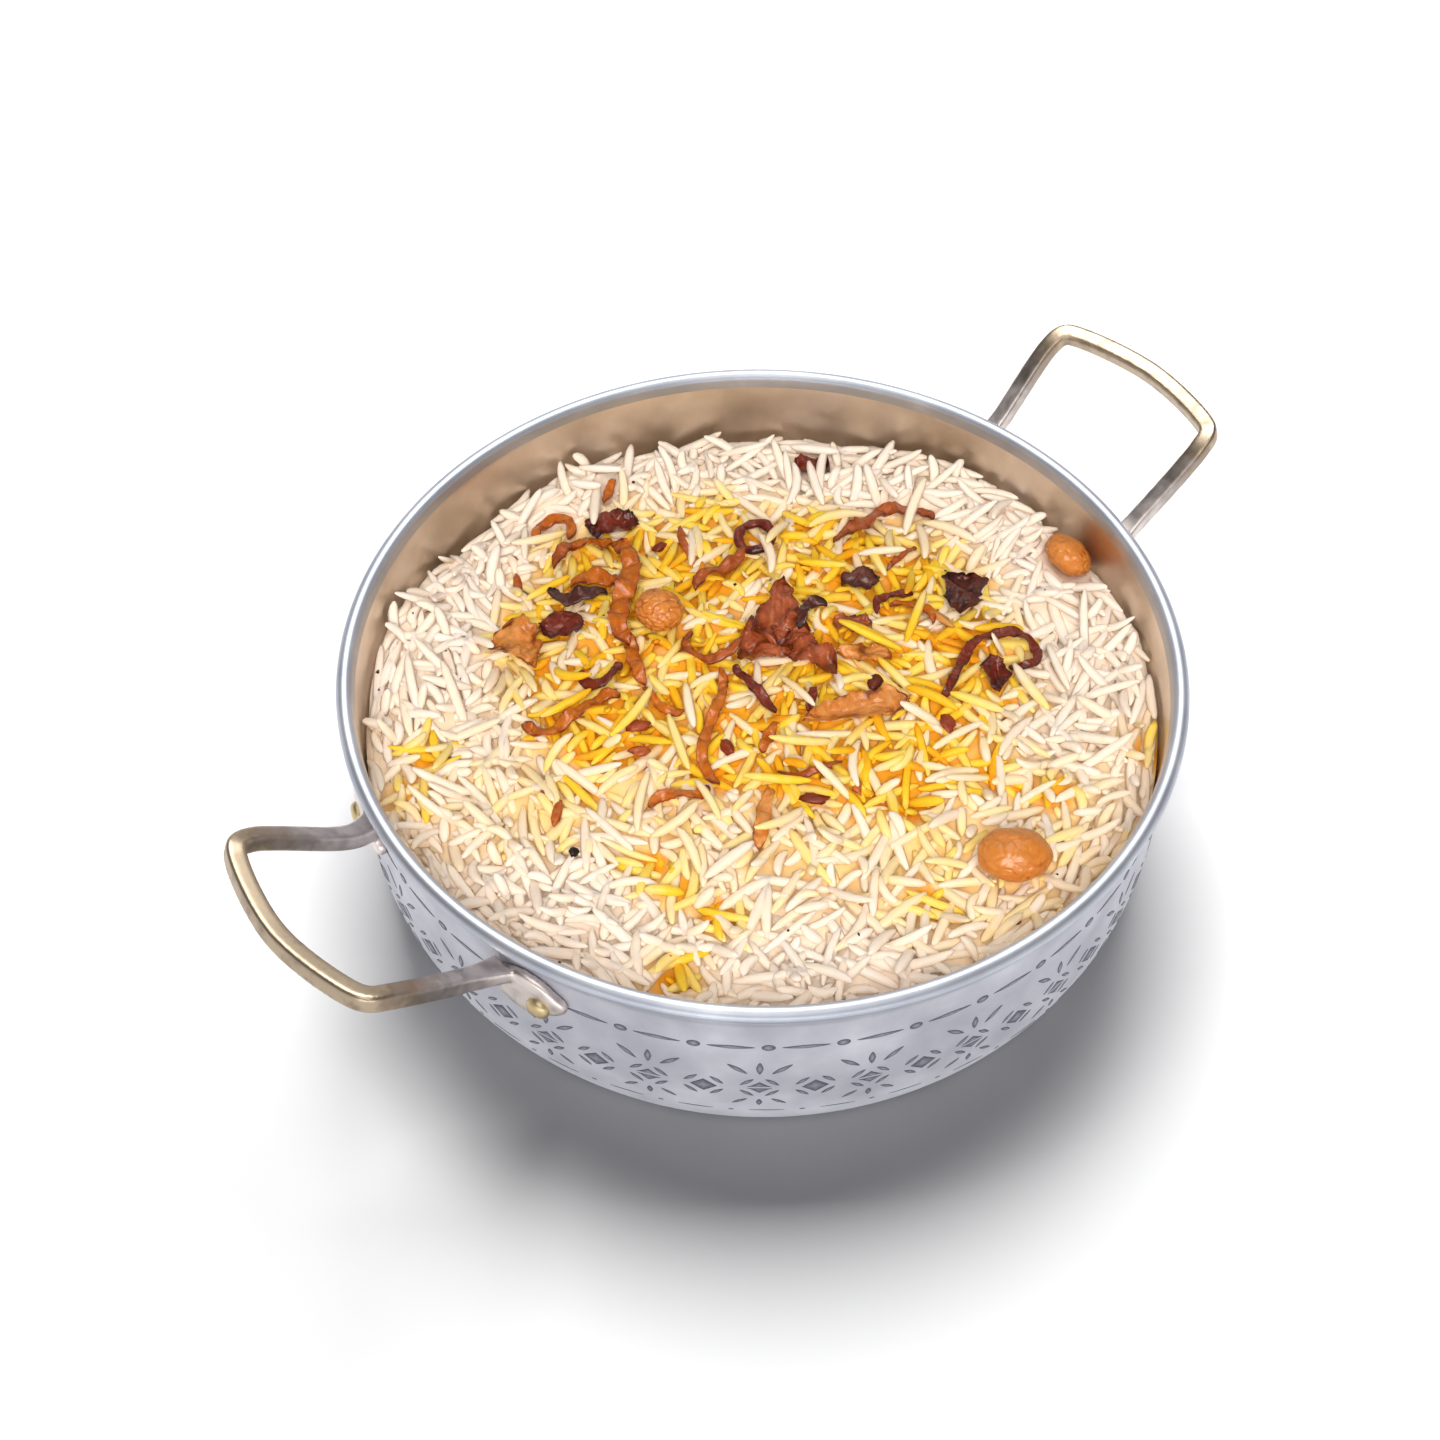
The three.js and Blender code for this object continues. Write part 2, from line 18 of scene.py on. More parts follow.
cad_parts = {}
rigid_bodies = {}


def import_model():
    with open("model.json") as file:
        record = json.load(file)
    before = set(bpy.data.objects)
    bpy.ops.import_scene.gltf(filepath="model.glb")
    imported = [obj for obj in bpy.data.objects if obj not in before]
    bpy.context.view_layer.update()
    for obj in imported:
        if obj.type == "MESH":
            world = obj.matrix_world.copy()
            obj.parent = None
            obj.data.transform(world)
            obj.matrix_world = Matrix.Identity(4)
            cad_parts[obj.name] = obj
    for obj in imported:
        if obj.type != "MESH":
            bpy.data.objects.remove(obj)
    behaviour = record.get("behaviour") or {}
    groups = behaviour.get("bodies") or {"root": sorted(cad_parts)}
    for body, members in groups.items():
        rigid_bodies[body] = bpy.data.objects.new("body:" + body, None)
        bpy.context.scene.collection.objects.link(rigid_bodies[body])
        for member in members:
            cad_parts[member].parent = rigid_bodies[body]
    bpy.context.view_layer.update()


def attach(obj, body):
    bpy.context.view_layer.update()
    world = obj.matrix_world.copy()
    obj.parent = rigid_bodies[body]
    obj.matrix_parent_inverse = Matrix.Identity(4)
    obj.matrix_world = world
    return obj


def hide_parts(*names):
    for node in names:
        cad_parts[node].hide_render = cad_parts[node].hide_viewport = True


LOG = logging.getLogger("rice_pan")
MM = 0.001  # metres in a millimetre
GAP = 0.3  # between pieces that touch, in millimetres
BODY = "root"
Colour = tuple[float, float, float, float]
Place = tuple[float, float, float]
Stops = tuple[tuple[float, str], ...]
Layers = tuple[tuple[float, float, int], ...]


def linear(code: str) -> Colour:
    """Turns an sRGB hex colour to the linear values that shaders take.

    Args:
        code: colour as "#RRGGBB".

    Returns:
        Red, green, blue and an alpha of 1.
    """
    srgb = np.array([int(code[i:i + 2], 16) for i in (1, 3, 5)]) / 255
    rgb = np.where(srgb <= 0.04045, srgb / 12.92, ((srgb + 0.055) / 1.055) ** 2.4)
    return (*rgb.tolist(), 1.0)


def add_node(tree: bpy.types.NodeTree, kind: str, inputs: dict[str | int, Any] | None = None,
             stops: Stops = (), **settings: Any) -> bpy.types.Node:
    """Adds one shader node with its settings and links.

    Args:
        tree: node tree that it goes into.
        kind: Blender's name of the node type.
        inputs: value, or socket to link from, for each input by name or number.
        stops: place and hex colour of each stop, for a colour ramp.
        settings: the node's own properties.

    Returns:
        The new node.
    """
    node = tree.nodes.new(kind)
    for name, value in settings.items():
        setattr(node, name, value)
    for name, value in (inputs or {}).items():
        if isinstance(value, bpy.types.NodeSocket):
            tree.links.new(value, node.inputs[name])
        else:
            node.inputs[name].default_value = value
    if stops:
        elements = node.color_ramp.elements
        for _ in stops[2:]:
            elements.new(0.5)
        for element, (place, code) in zip(elements, stops):
            element.position = place
            element.color = linear(code)
    return node


def waves(points: np.ndarray, size: float, seed: int) -> np.ndarray:
    """Smooth hills from about -1 to 1: the mean of sines that run in eight random directions.

    Args:
        points: places, with their coordinates in the last axis.
        size: distance from one hill to the next.
        seed: start of the random draw of directions.

    Returns:
        One height for each point.
    """
    rng = np.random.default_rng(seed)
    directions = rng.normal(size=(8, points.shape[-1]))
    directions /= np.linalg.norm(directions, axis=1, keepdims=True)
    directions *= rng.uniform(0.7, 1.3, size=(8, 1))
    phases = rng.uniform(0, 2 * np.pi, size=8)
    return 1.7 * np.sin(points @ directions.T * (2 * np.pi / size) + phases).mean(-1)


def relief(points: np.ndarray, layers: Layers, seed: int) -> np.ndarray:
    """Hills of several sizes on top of each other: the sum of waves, each at its own height.

    Args:
        points: places, with their coordinates in the last axis.
        layers: height, size and step of the seed for each kind of hill.
        seed: start of the random draws, before each layer's own step.

    Returns:
        One height for each point.
    """
    return sum(height * waves(points, size, seed + step) for height, size, step in layers)


@dataclass
class Shell:
    """A closed surface: its corners, its faces, and values on the corners that its material reads."""

    points: np.ndarray
    faces: list[np.ndarray]
    tags: dict[str, np.ndarray] = field(default_factory=dict)
    parts: np.ndarray | None = None

    def pointing_out(self) -> "Shell":
        """Turns the faces round if the volume that they enclose comes out negative.

        Returns:
            This shell, with its faces pointing out.
        """
        volume = 0.0
        for faces in self.faces:
            first, *rest = self.points[faces].transpose(1, 0, 2)
            for second, third in zip(rest, rest[1:]):
                volume += np.einsum("ij,ij->", first, np.cross(second, third))
        if volume < 0:
            self.faces = [faces[:, ::-1] for faces in self.faces]
        return self


def loft(rings: np.ndarray, ends: np.ndarray | None) -> Shell:
    """Closed surfaces through rings of points: neighbours in a ring and in the next ring share a face.

    Args:
        rings: pieces x rows x columns x 3, where a row is one ring.
        ends: pieces x 2 x 3, the poles that shut the first and the last ring, or None to join those two.

    Returns:
        All the pieces as one shell.
    """
    pieces, rows, columns = rings.shape[:3]
    index = np.arange(rows * columns).reshape(rows, columns)
    if ends is None:
        index = np.vstack([index, index[:1]])
    after = np.roll(index, -1, axis=1)
    quads = np.stack([index[:-1], after[:-1], after[1:], index[1:]], -1).reshape(-1, 4)
    faces = [quads]
    points = rings.reshape(pieces, -1, 3)
    if ends is not None:
        first, last = np.full(columns, rows * columns), np.full(columns, rows * columns + 1)
        faces += [np.stack([first, after[0], index[0]], -1), np.stack([last, index[-1], after[-1]], -1)]
        points = np.concatenate([points, ends], axis=1)
    step = np.arange(pieces)[:, None, None] * points.shape[1]
    spread = [(kind[None] + step).reshape(-1, kind.shape[1]) for kind in faces]
    return Shell(points.reshape(-1, 3), spread).pointing_out()


def joined(shells: list[Shell]) -> Shell:
    """Puts several shells together as one, each keeping its own corners and the values on them.

    Args:
        shells: shells that all have the same tags.

    Returns:
        One shell of all their corners and faces.
    """
    starts = np.cumsum([0] + [len(shell.points) for shell in shells])
    faces = [kind + start for shell, start in zip(shells, starts) for kind in shell.faces]
    tags = {tag: np.concatenate([shell.tags[tag] for shell in shells]) for tag in shells[0].tags}
    return Shell(np.concatenate([shell.points for shell in shells]), faces, tags)


def put_piece(name: str, shell: Shell, materials: list[bpy.types.Material],
              nodes: tuple[str, ...] = ()) -> bpy.types.Object:
    """Makes an object of a shell and lets it ride on the body.

    Args:
        name: name of the piece.
        shell: its surface, in millimetres.
        materials: its materials, in the order that the shell's parts number them.
        nodes: the solids that it stands for.

    Returns:
        The new object.
    """
    corners = np.concatenate([faces.ravel() for faces in shell.faces])
    sizes = np.concatenate([np.full(len(faces), faces.shape[1]) for faces in shell.faces])
    mesh = bpy.data.meshes.new(name)
    mesh.vertices.add(len(shell.points))
    mesh.vertices.foreach_set("co", (shell.points * MM).astype(np.float32).ravel())
    mesh.loops.add(len(corners))
    mesh.loops.foreach_set("vertex_index", corners.astype(np.int32))
    mesh.polygons.add(len(sizes))
    mesh.polygons.foreach_set("loop_start", np.concatenate([[0], np.cumsum(sizes)[:-1]]).astype(np.int32))
    mesh.polygons.foreach_set("use_smooth", np.ones(len(sizes), bool))
    if shell.parts is not None:
        mesh.polygons.foreach_set("material_index", shell.parts.astype(np.int32))
    for tag, values in shell.tags.items():
        layer = mesh.attributes.new(tag, "FLOAT", "POINT")
        layer.data.foreach_set("value", values.astype(np.float32).ravel())
    mesh.update(calc_edges=True)
    for material in materials:
        mesh.materials.append(material)
    piece = bpy.data.objects.new(name, mesh)
    bpy.context.scene.collection.objects.link(piece)
    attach(piece, BODY)
    if nodes:
        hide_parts(*nodes)
    LOG.info("%s: %d faces", name, len(sizes))
    return piece


class Finish:
    """Base of the finishes: a material with one principled shader."""

    def start(self, name: str, sockets: dict[str, Any]) -> tuple[bpy.types.Material, bpy.types.NodeTree]:
        """Starts a material.

        Args:
            name: what the real material is.
            sockets: the shader's values that are the same all over.

        Returns:
            The material and its node tree.
        """
        material = bpy.data.materials.new(name)
        material.use_nodes = True
        shader = material.node_tree.nodes["Principled BSDF"]
        for socket, value in sockets.items():
            shader.inputs[socket].default_value = value
        return material, material.node_tree

    def clouds(self, tree: bpy.types.NodeTree, place: bpy.types.NodeSocket, size_mm: float,
               detail: float = 2.0) -> bpy.types.Node:
        """Adds a noise pattern whose clouds have a real size.

        Args:
            tree: the material's node tree.
            place: socket that gives each point's place.
            size_mm: distance from one cloud to the next.
            detail: number of finer layers.

        Returns:
            The noise node.
        """
        return add_node(tree, "ShaderNodeTexNoise", {
            "Vector": place, "Scale": 1 / (size_mm * MM), "Detail": detail})

    def sum_of(self, tree: bpy.types.NodeTree, first: bpy.types.NodeSocket, share: float,
               second: bpy.types.NodeSocket | float) -> bpy.types.Node:
        """Adds a share of one value to another.

        Args:
            tree: the material's node tree.
            first: socket of the value that a share is taken of.
            share: how much of it is taken.
            second: value or socket that it's added to.

        Returns:
            The node that gives the sum.
        """
        return add_node(tree, "ShaderNodeMath", {0: first, 1: share, 2: second}, operation="MULTIPLY_ADD")

    def dress(self, tree: bpy.types.NodeTree, nodes: dict[str, bpy.types.Node]) -> None:
        """Lets nodes drive the shader, each by its first output.

        Args:
            tree: the material's node tree.
            nodes: the node for each of the shader's sockets.
        """
        shader = tree.nodes["Principled BSDF"]
        for socket, node in nodes.items():
            tree.links.new(node.outputs[0], shader.inputs[socket])


@dataclass(frozen=True)
class SpunSteel(Finish):
    """Stainless steel sheet spun on a lathe: fine lines run round it, so that highlights spread along them.

    The lines are drawn coarser than real ones, which would be too fine to show.
    """

    name: str
    light: str
    deep: str
    roughness: float
    metallic: float = 1.0
    line_depth: float = 0.12
    painted_bounce: float = 0.0
    stain_mm: float = 14.0
    line_mm: float = 0.7
    run_mm: float = 1000 / 6
    rise_mm: float = 0.05
    gloss_swing: float = 0.07
    foot_mm: tuple[float, float] = (4.0, 26.0)
    painted_bounce_colour: str = "#EEEEF5"
    foot_matt: float = 0.8

    def make(self) -> bpy.types.Material:
        """Builds the material: lines by height alone and faint stains, with painted light near the foot:
        paler and matt there, as if lit by light bounced up from the floor.

        Returns:
            The material.
        """
        material, tree = self.start(self.name, {"Metallic": self.metallic})
        place = add_node(tree, "ShaderNodeTexCoord").outputs["Object"]
        scale = tuple(1 / (size * MM) for size in (self.run_mm, self.run_mm, self.line_mm))
        lines = add_node(tree, "ShaderNodeMapping", {"Vector": place, "Scale": scale})
        brush = add_node(tree, "ShaderNodeTexNoise", {
            "Vector": lines.outputs[0], "Scale": 1.0, "Detail": 3.0})
        stain = self.clouds(tree, place, self.stain_mm, 4.0)
        axes = add_node(tree, "ShaderNodeSeparateXYZ", {0: place})
        # Painted light: from the foot up, the colour is made paler, standing in for light bounced up from the
        # floor.
        foot = add_node(tree, "ShaderNodeMapRange", {
            "Value": axes.outputs["Z"], "From Min": self.foot_mm[0] * MM, "From Max": self.foot_mm[1] * MM,
            "To Min": self.painted_bounce, "To Max": 0.0})
        pale = self.sum_of(tree, stain.outputs["Fac"], 1.0, foot.outputs[0])
        colour = add_node(tree, "ShaderNodeValToRGB", {"Fac": pale.outputs[0]}, (
            (0.36, self.deep), (0.62, self.light), (1.0, self.painted_bounce_colour)))
        gloss = add_node(tree, "ShaderNodeMapRange", {
            "Value": brush.outputs["Fac"], "To Min": self.roughness - self.gloss_swing,
            "To Max": self.roughness + self.gloss_swing})
        bump = add_node(tree, "ShaderNodeBump", {
            "Height": brush.outputs["Fac"], "Strength": self.line_depth, "Distance": self.rise_mm * MM})
        self.dress(tree, {"Base Color": colour, "Roughness": gloss, "Normal": bump})
        if self.painted_bounce:
            matt = self.sum_of(tree, foot.outputs[0], -self.foot_matt, self.metallic)
            self.dress(tree, {"Metallic": matt})
        return material


@dataclass(frozen=True)
class EtchedSteel(Finish):
    """Acid-etched marks in the steel: grey and dull, as the etched ground is rough."""

    light: str = "#A6A8B0"
    deep: str = "#62646E"
    grit_mm: float = 0.8
    grit_share: float = 0.5

    def make(self) -> bpy.types.Material:
        """Builds the material: a grey that darkens to each mark's edge and varies with the ground's grit.

        Returns:
            The material.
        """
        material, tree = self.start("etched_steel", {"Metallic": 0.6, "Roughness": 0.62})
        place = add_node(tree, "ShaderNodeTexCoord").outputs["Object"]
        grit = self.clouds(tree, place, self.grit_mm)
        rim = add_node(tree, "ShaderNodeAttribute", attribute_name="rim")
        depth = self.sum_of(tree, grit.outputs["Fac"], self.grit_share, rim.outputs["Fac"])
        colour = add_node(tree, "ShaderNodeValToRGB", {"Fac": depth.outputs[0]}, (
            (0.35, self.light), (1.0, self.deep)))
        self.dress(tree, {"Base Color": colour})
        return material


@dataclass(frozen=True)
class AgedBrass(Finish):
    """Cast brass: golden where hands rub the grip, dulled to grey-brown near the wall; a dull colour set
    paler than the brass there is painted light.
    """

    name: str
    gold: str
    brown: str
    grey: str
    dull: str
    dull_reach: float
    gold_reach: float
    roughness: float
    gloss_swing: float = 0.12
    wear: tuple[float, float] = (0.22, 0.74)
    blotch_mm: float = 3.0
    blotch_share: float = 0.5
    pit_mm: float = 0.9
    pit_strength: float = 0.25
    pit_depth_mm: float = 0.06

    def make(self) -> bpy.types.Material:
        """Builds the material: gold by the distance along X, broken up by blotches, over small cast pits.

        Returns:
            The material.
        """
        material, tree = self.start(self.name, {"Metallic": 1.0})
        place = add_node(tree, "ShaderNodeTexCoord").outputs["Object"]
        axes = add_node(tree, "ShaderNodeSeparateXYZ", {0: place})
        reach = add_node(tree, "ShaderNodeMath", {0: axes.outputs["X"]}, operation="ABSOLUTE")
        worn = add_node(tree, "ShaderNodeMapRange", {
            "Value": reach.outputs[0], "From Min": self.dull_reach * MM, "From Max": self.gold_reach * MM,
            "To Min": self.wear[0], "To Max": self.wear[1]})
        blotch = self.clouds(tree, place, self.blotch_mm, 5.0)
        patchy = self.sum_of(tree, blotch.outputs["Fac"], self.blotch_share, worn.outputs[0])
        # The dull stop near the wall carries painted light where it is set paler than the brass.
        colour = add_node(tree, "ShaderNodeValToRGB", {"Fac": patchy.outputs[0]}, (
            (0.44, self.dull), (0.68, self.grey), (0.88, self.brown), (1.0, self.gold)))
        gloss = add_node(tree, "ShaderNodeMapRange", {
            "Value": blotch.outputs["Fac"], "To Min": self.roughness + self.gloss_swing,
            "To Max": self.roughness - self.gloss_swing})
        pits = self.clouds(tree, place, self.pit_mm, 3.0)
        bump = add_node(tree, "ShaderNodeBump", {
            "Height": pits.outputs["Fac"], "Strength": self.pit_strength, "Distance": self.pit_depth_mm * MM})
        self.dress(tree, {"Base Color": colour, "Roughness": gloss, "Normal": bump})
        return material


class Tint(Enum):
    """Kinds of grain: the least and the most that saffron water has soaked each kind."""

    WHITE = (0.0, 0.13)
    CREAM = (0.13, 0.32)
    PALE = (0.32, 0.6)
    SAFFRON = (0.6, 0.88)
    AMBER = (0.88, 2.0)


@dataclass(frozen=True)
class CookedRice(Finish):
    """Steamed long-grain rice: moist, soft and a little clear, so that light spreads inside each grain."""

    name: str
    stops: Stops
    glow_mm: float = 1.0
    chalk_mm: float = 1.6
    chalk_share: float = 0.2
    chalk_strength: float = 0.12
    chalk_rise_mm: float = 0.1

    def make(self) -> bpy.types.Material:
        """Builds the material: colour by how far each part of a grain is soaked, with chalky clouds in it.

        Returns:
            The material.
        """
        material, tree = self.start(self.name, {
            "Roughness": 0.46, "IOR": 1.4, "Specular IOR Level": 0.2, "Subsurface Weight": 0.3,
            "Subsurface Radius": (1.0, 0.95, 0.9), "Subsurface Scale": self.glow_mm * MM})
        soak = add_node(tree, "ShaderNodeAttribute", attribute_name="soak")
        place = add_node(tree, "ShaderNodeTexCoord").outputs["Object"]
        chalk = self.clouds(tree, place, self.chalk_mm)
        cloud = self.sum_of(tree, chalk.outputs["Fac"], self.chalk_share, soak.outputs["Fac"])
        level = add_node(tree, "ShaderNodeMath", {
            0: cloud.outputs[0], 1: self.chalk_share / 2}, operation="SUBTRACT")
        colour = add_node(tree, "ShaderNodeValToRGB", {"Fac": level.outputs[0]}, self.stops)
        bump = add_node(tree, "ShaderNodeBump", {
            "Height": chalk.outputs["Fac"], "Strength": self.chalk_strength,
            "Distance": self.chalk_rise_mm * MM})
        self.dress(tree, {"Base Color": colour, "Normal": bump})
        return material


@dataclass(frozen=True)
class RaisinSkin(Finish):
    """Golden raisin plumped in butter: thin amber skin, glossy on the ridges, with painted shade in the
    folds, which are coloured darker the deeper they are.
    """

    ridge: str = "#D48638"
    middle: str = "#C87426"
    fold: str = "#984E14"
    glow_mm: float = 1.2
    mottle_mm: float = 1.5
    mottle_share: float = 0.35
    wrinkle_mm: float = 2.6
    wrinkle_sway_mm: float = 1.2
    wrinkle_width: float = 0.3
    wrinkle_strength: float = 0.5
    wrinkle_depth_mm: float = 0.3

    def make(self) -> bpy.types.Material:
        """Builds the material: colour darkening with the depth of the folds as painted shade, with a fine
        mottle and bent small wrinkles.

        Returns:
            The material.
        """
        material, tree = self.start("raisin_skin", {
            "Roughness": 0.34, "Coat Weight": 0.2, "Coat Roughness": 0.16, "Subsurface Weight": 0.25,
            "Subsurface Radius": (1.0, 0.4, 0.15), "Subsurface Scale": self.glow_mm * MM})
        folds = add_node(tree, "ShaderNodeAttribute", attribute_name="fold")
        place = add_node(tree, "ShaderNodeTexCoord").outputs["Object"]
        mottle = self.clouds(tree, place, self.mottle_mm)
        depth = self.sum_of(tree, mottle.outputs["Fac"], self.mottle_share, folds.outputs["Fac"])
        colour = add_node(tree, "ShaderNodeValToRGB", {"Fac": depth.outputs[0]}, (
            (0.12, self.ridge), (0.45, self.middle), (1.0, self.fold)))
        bent = add_node(tree, "ShaderNodeVectorMath", {
            0: mottle.outputs["Color"], 1: (self.wrinkle_sway_mm * MM,) * 3, 2: place},
            operation="MULTIPLY_ADD")
        crack = add_node(tree, "ShaderNodeTexVoronoi", {
            "Vector": bent.outputs[0], "Scale": 1 / (self.wrinkle_mm * MM)}, feature="DISTANCE_TO_EDGE")
        smooth = add_node(tree, "ShaderNodeMapRange", {
            "Value": crack.outputs["Distance"], "From Max": self.wrinkle_width},
            interpolation_type="SMOOTHSTEP")
        bump = add_node(tree, "ShaderNodeBump", {
            "Height": smooth.outputs[0], "Strength": self.wrinkle_strength,
            "Distance": self.wrinkle_depth_mm * MM})
        self.dress(tree, {"Base Color": colour, "Normal": bump})
        return material


class Fry(Enum):
    """How far the onion is fried: colours of its thick middle, its body and its thin burnt edge."""

    GOLDEN = ("#C87018", "#AC540C", "#702A04")
    TAN = ("#DE9850", "#C87A2E", "#844210")
    AMBER = ("#B05820", "#904014", "#582008")
    BROWN = ("#B66036", "#9A4A26", "#602410")
    RED = ("#7E301C", "#662012", "#380C06")
    DARK = ("#6C382C", "#50261E", "#2A1210")
    CHAR = ("#56281E", "#401C16", "#220E0C")

    @property
    def slot(self) -> str:
        """The record's material slot for this colour.

        Returns:
            The slot's name.
        """
        if self in (Fry.GOLDEN, Fry.TAN):
            return "onion_golden"
        return "onion_brown" if self in (Fry.AMBER, Fry.BROWN) else "onion_dark"


@dataclass(frozen=True)
class FriedOnion(Finish):
    """Deep-fried onion: crisp and oily, a little clear where thin, burnt darker along its edges."""

    fry: Fry
    glow_mm: float = 1.0
    blister_mm: float = 2.4
    blister_share: float = 1.1
    wrinkle_mm: float = 0.9
    wrinkle_strength: float = 0.7
    wrinkle_depth_mm: float = 0.4

    def make(self) -> bpy.types.Material:
        """Builds the material: colour by nearness to the edge, broken up by blisters.

        Returns:
            The material.
        """
        middle, body, burnt = self.fry.value
        material, tree = self.start(f"fried_onion_{self.fry.name.lower()}", {
            "Roughness": 0.36, "Specular IOR Level": 0.3, "Coat Weight": 0.32, "Coat Roughness": 0.24,
            "Subsurface Weight": 0.3, "Subsurface Radius": (1.0, 0.45, 0.15),
            "Subsurface Scale": self.glow_mm * MM})
        # On flakes the edge value also holds painted shade in their hollows.
        edge = add_node(tree, "ShaderNodeAttribute", attribute_name="edge")
        place = add_node(tree, "ShaderNodeTexCoord").outputs["Object"]
        blister = self.clouds(tree, place, self.blister_mm, 4.0)
        burn = self.sum_of(tree, blister.outputs["Fac"], self.blister_share, edge.outputs["Fac"])
        colour = add_node(tree, "ShaderNodeValToRGB", {"Fac": burn.outputs[0]}, (
            (0.45, middle), (0.8, body), (1.0, burnt)))
        wrinkle = self.clouds(tree, place, self.wrinkle_mm)
        bump = add_node(tree, "ShaderNodeBump", {
            "Height": wrinkle.outputs["Fac"], "Strength": self.wrinkle_strength,
            "Distance": self.wrinkle_depth_mm * MM})
        self.dress(tree, {"Base Color": colour, "Normal": bump})
        return material


@dataclass(frozen=True)
class SpiceCrumb(Finish):
    """Crumbs of onion and whole seeds: dry, from straw through amber and brown to burnt black."""

    stops: Stops = ((0.1, "#B79A55"), (0.35, "#D9792A"), (0.65, "#8A2F16"), (1.0, "#1E0D0C"))
    mottle_mm: float = 0.9
    mottle_share: float = 0.3

    def make(self) -> bpy.types.Material:
        """Builds the material: colour by how far each crumb is charred, with a fine mottle.

        Returns:
            The material.
        """
        material, tree = self.start("spice_crumb", {"Roughness": 0.45})
        char = add_node(tree, "ShaderNodeAttribute", attribute_name="char")
        place = add_node(tree, "ShaderNodeTexCoord").outputs["Object"]
        mottle = self.clouds(tree, place, self.mottle_mm)
        depth = self.sum_of(tree, mottle.outputs["Fac"], self.mottle_share, char.outputs["Fac"])
        colour = add_node(tree, "ShaderNodeValToRGB", {"Fac": depth.outputs[0]}, self.stops)
        self.dress(tree, {"Base Color": colour})
        return material


@dataclass(frozen=True)
class PaintedBoard(Finish):
    """Matt painted board that the pan stands on: an even pale ground that takes soft shadows."""

    shade: str = "#CCCCCC"
    light: str = "#D0D0D0"
    cloud_mm: float = 1000 / 6

    def make(self) -> bpy.types.Material:
        """Builds the material: pale grey with a very faint cloud.

        Returns:
            The material.
        """
        material, tree = self.start("painted_board", {"Roughness": 0.9})
        place = add_node(tree, "ShaderNodeTexCoord").outputs["Object"]
        cloud = self.clouds(tree, place, self.cloud_mm)
        colour = add_node(tree, "ShaderNodeValToRGB", {"Fac": cloud.outputs["Fac"]}, (
            (0.3, self.shade), (0.7, self.light)))
        self.dress(tree, {"Base Color": colour})
        return material


def ring_angles(count: int) -> np.ndarray:
    """Angles evenly round a circle, from 0."""
    return np.arange(count) * (2 * np.pi / count)


def polar(radius: np.ndarray, angle: np.ndarray, z: np.ndarray) -> np.ndarray:
    """Points from their distance from the axis, their angle about it and their height."""
    radius, angle, z = np.broadcast_arrays(radius, angle, z)
    return np.stack([radius * np.cos(angle), radius * np.sin(angle), z], -1)


@dataclass(frozen=True)
class Wall:
    """The pan's wall: widest at the belly, tucked in below it and a little above it."""

    height: float = 53.3
    sheet: float = 1.0
    belly_radius: float = 88.0
    belly_height: float = 25.0
    base_tuck: float = 6.3
    base_power: float = 2.35
    neck_tuck: float = 0.8
    neck_power: float = 1.2

    def radius(self, z: np.ndarray | float) -> np.ndarray:
        """Outside radius at a height: the belly's, less a power of the distance below or above it.

        Args:
            z: heights above the base.

        Returns:
            The radius at each height.
        """
        below = np.clip((self.belly_height - z) / self.belly_height, 0, None)
        above = np.clip((z - self.belly_height) / (self.height - self.belly_height), 0, None)
        tuck = self.base_tuck * below ** self.base_power + self.neck_tuck * above ** self.neck_power
        return self.belly_radius - tuck

    def room(self, z: np.ndarray | float) -> np.ndarray:
        """Widest that the food can be at a height, clear of the inside."""
        return self.radius(z) - self.sheet - GAP


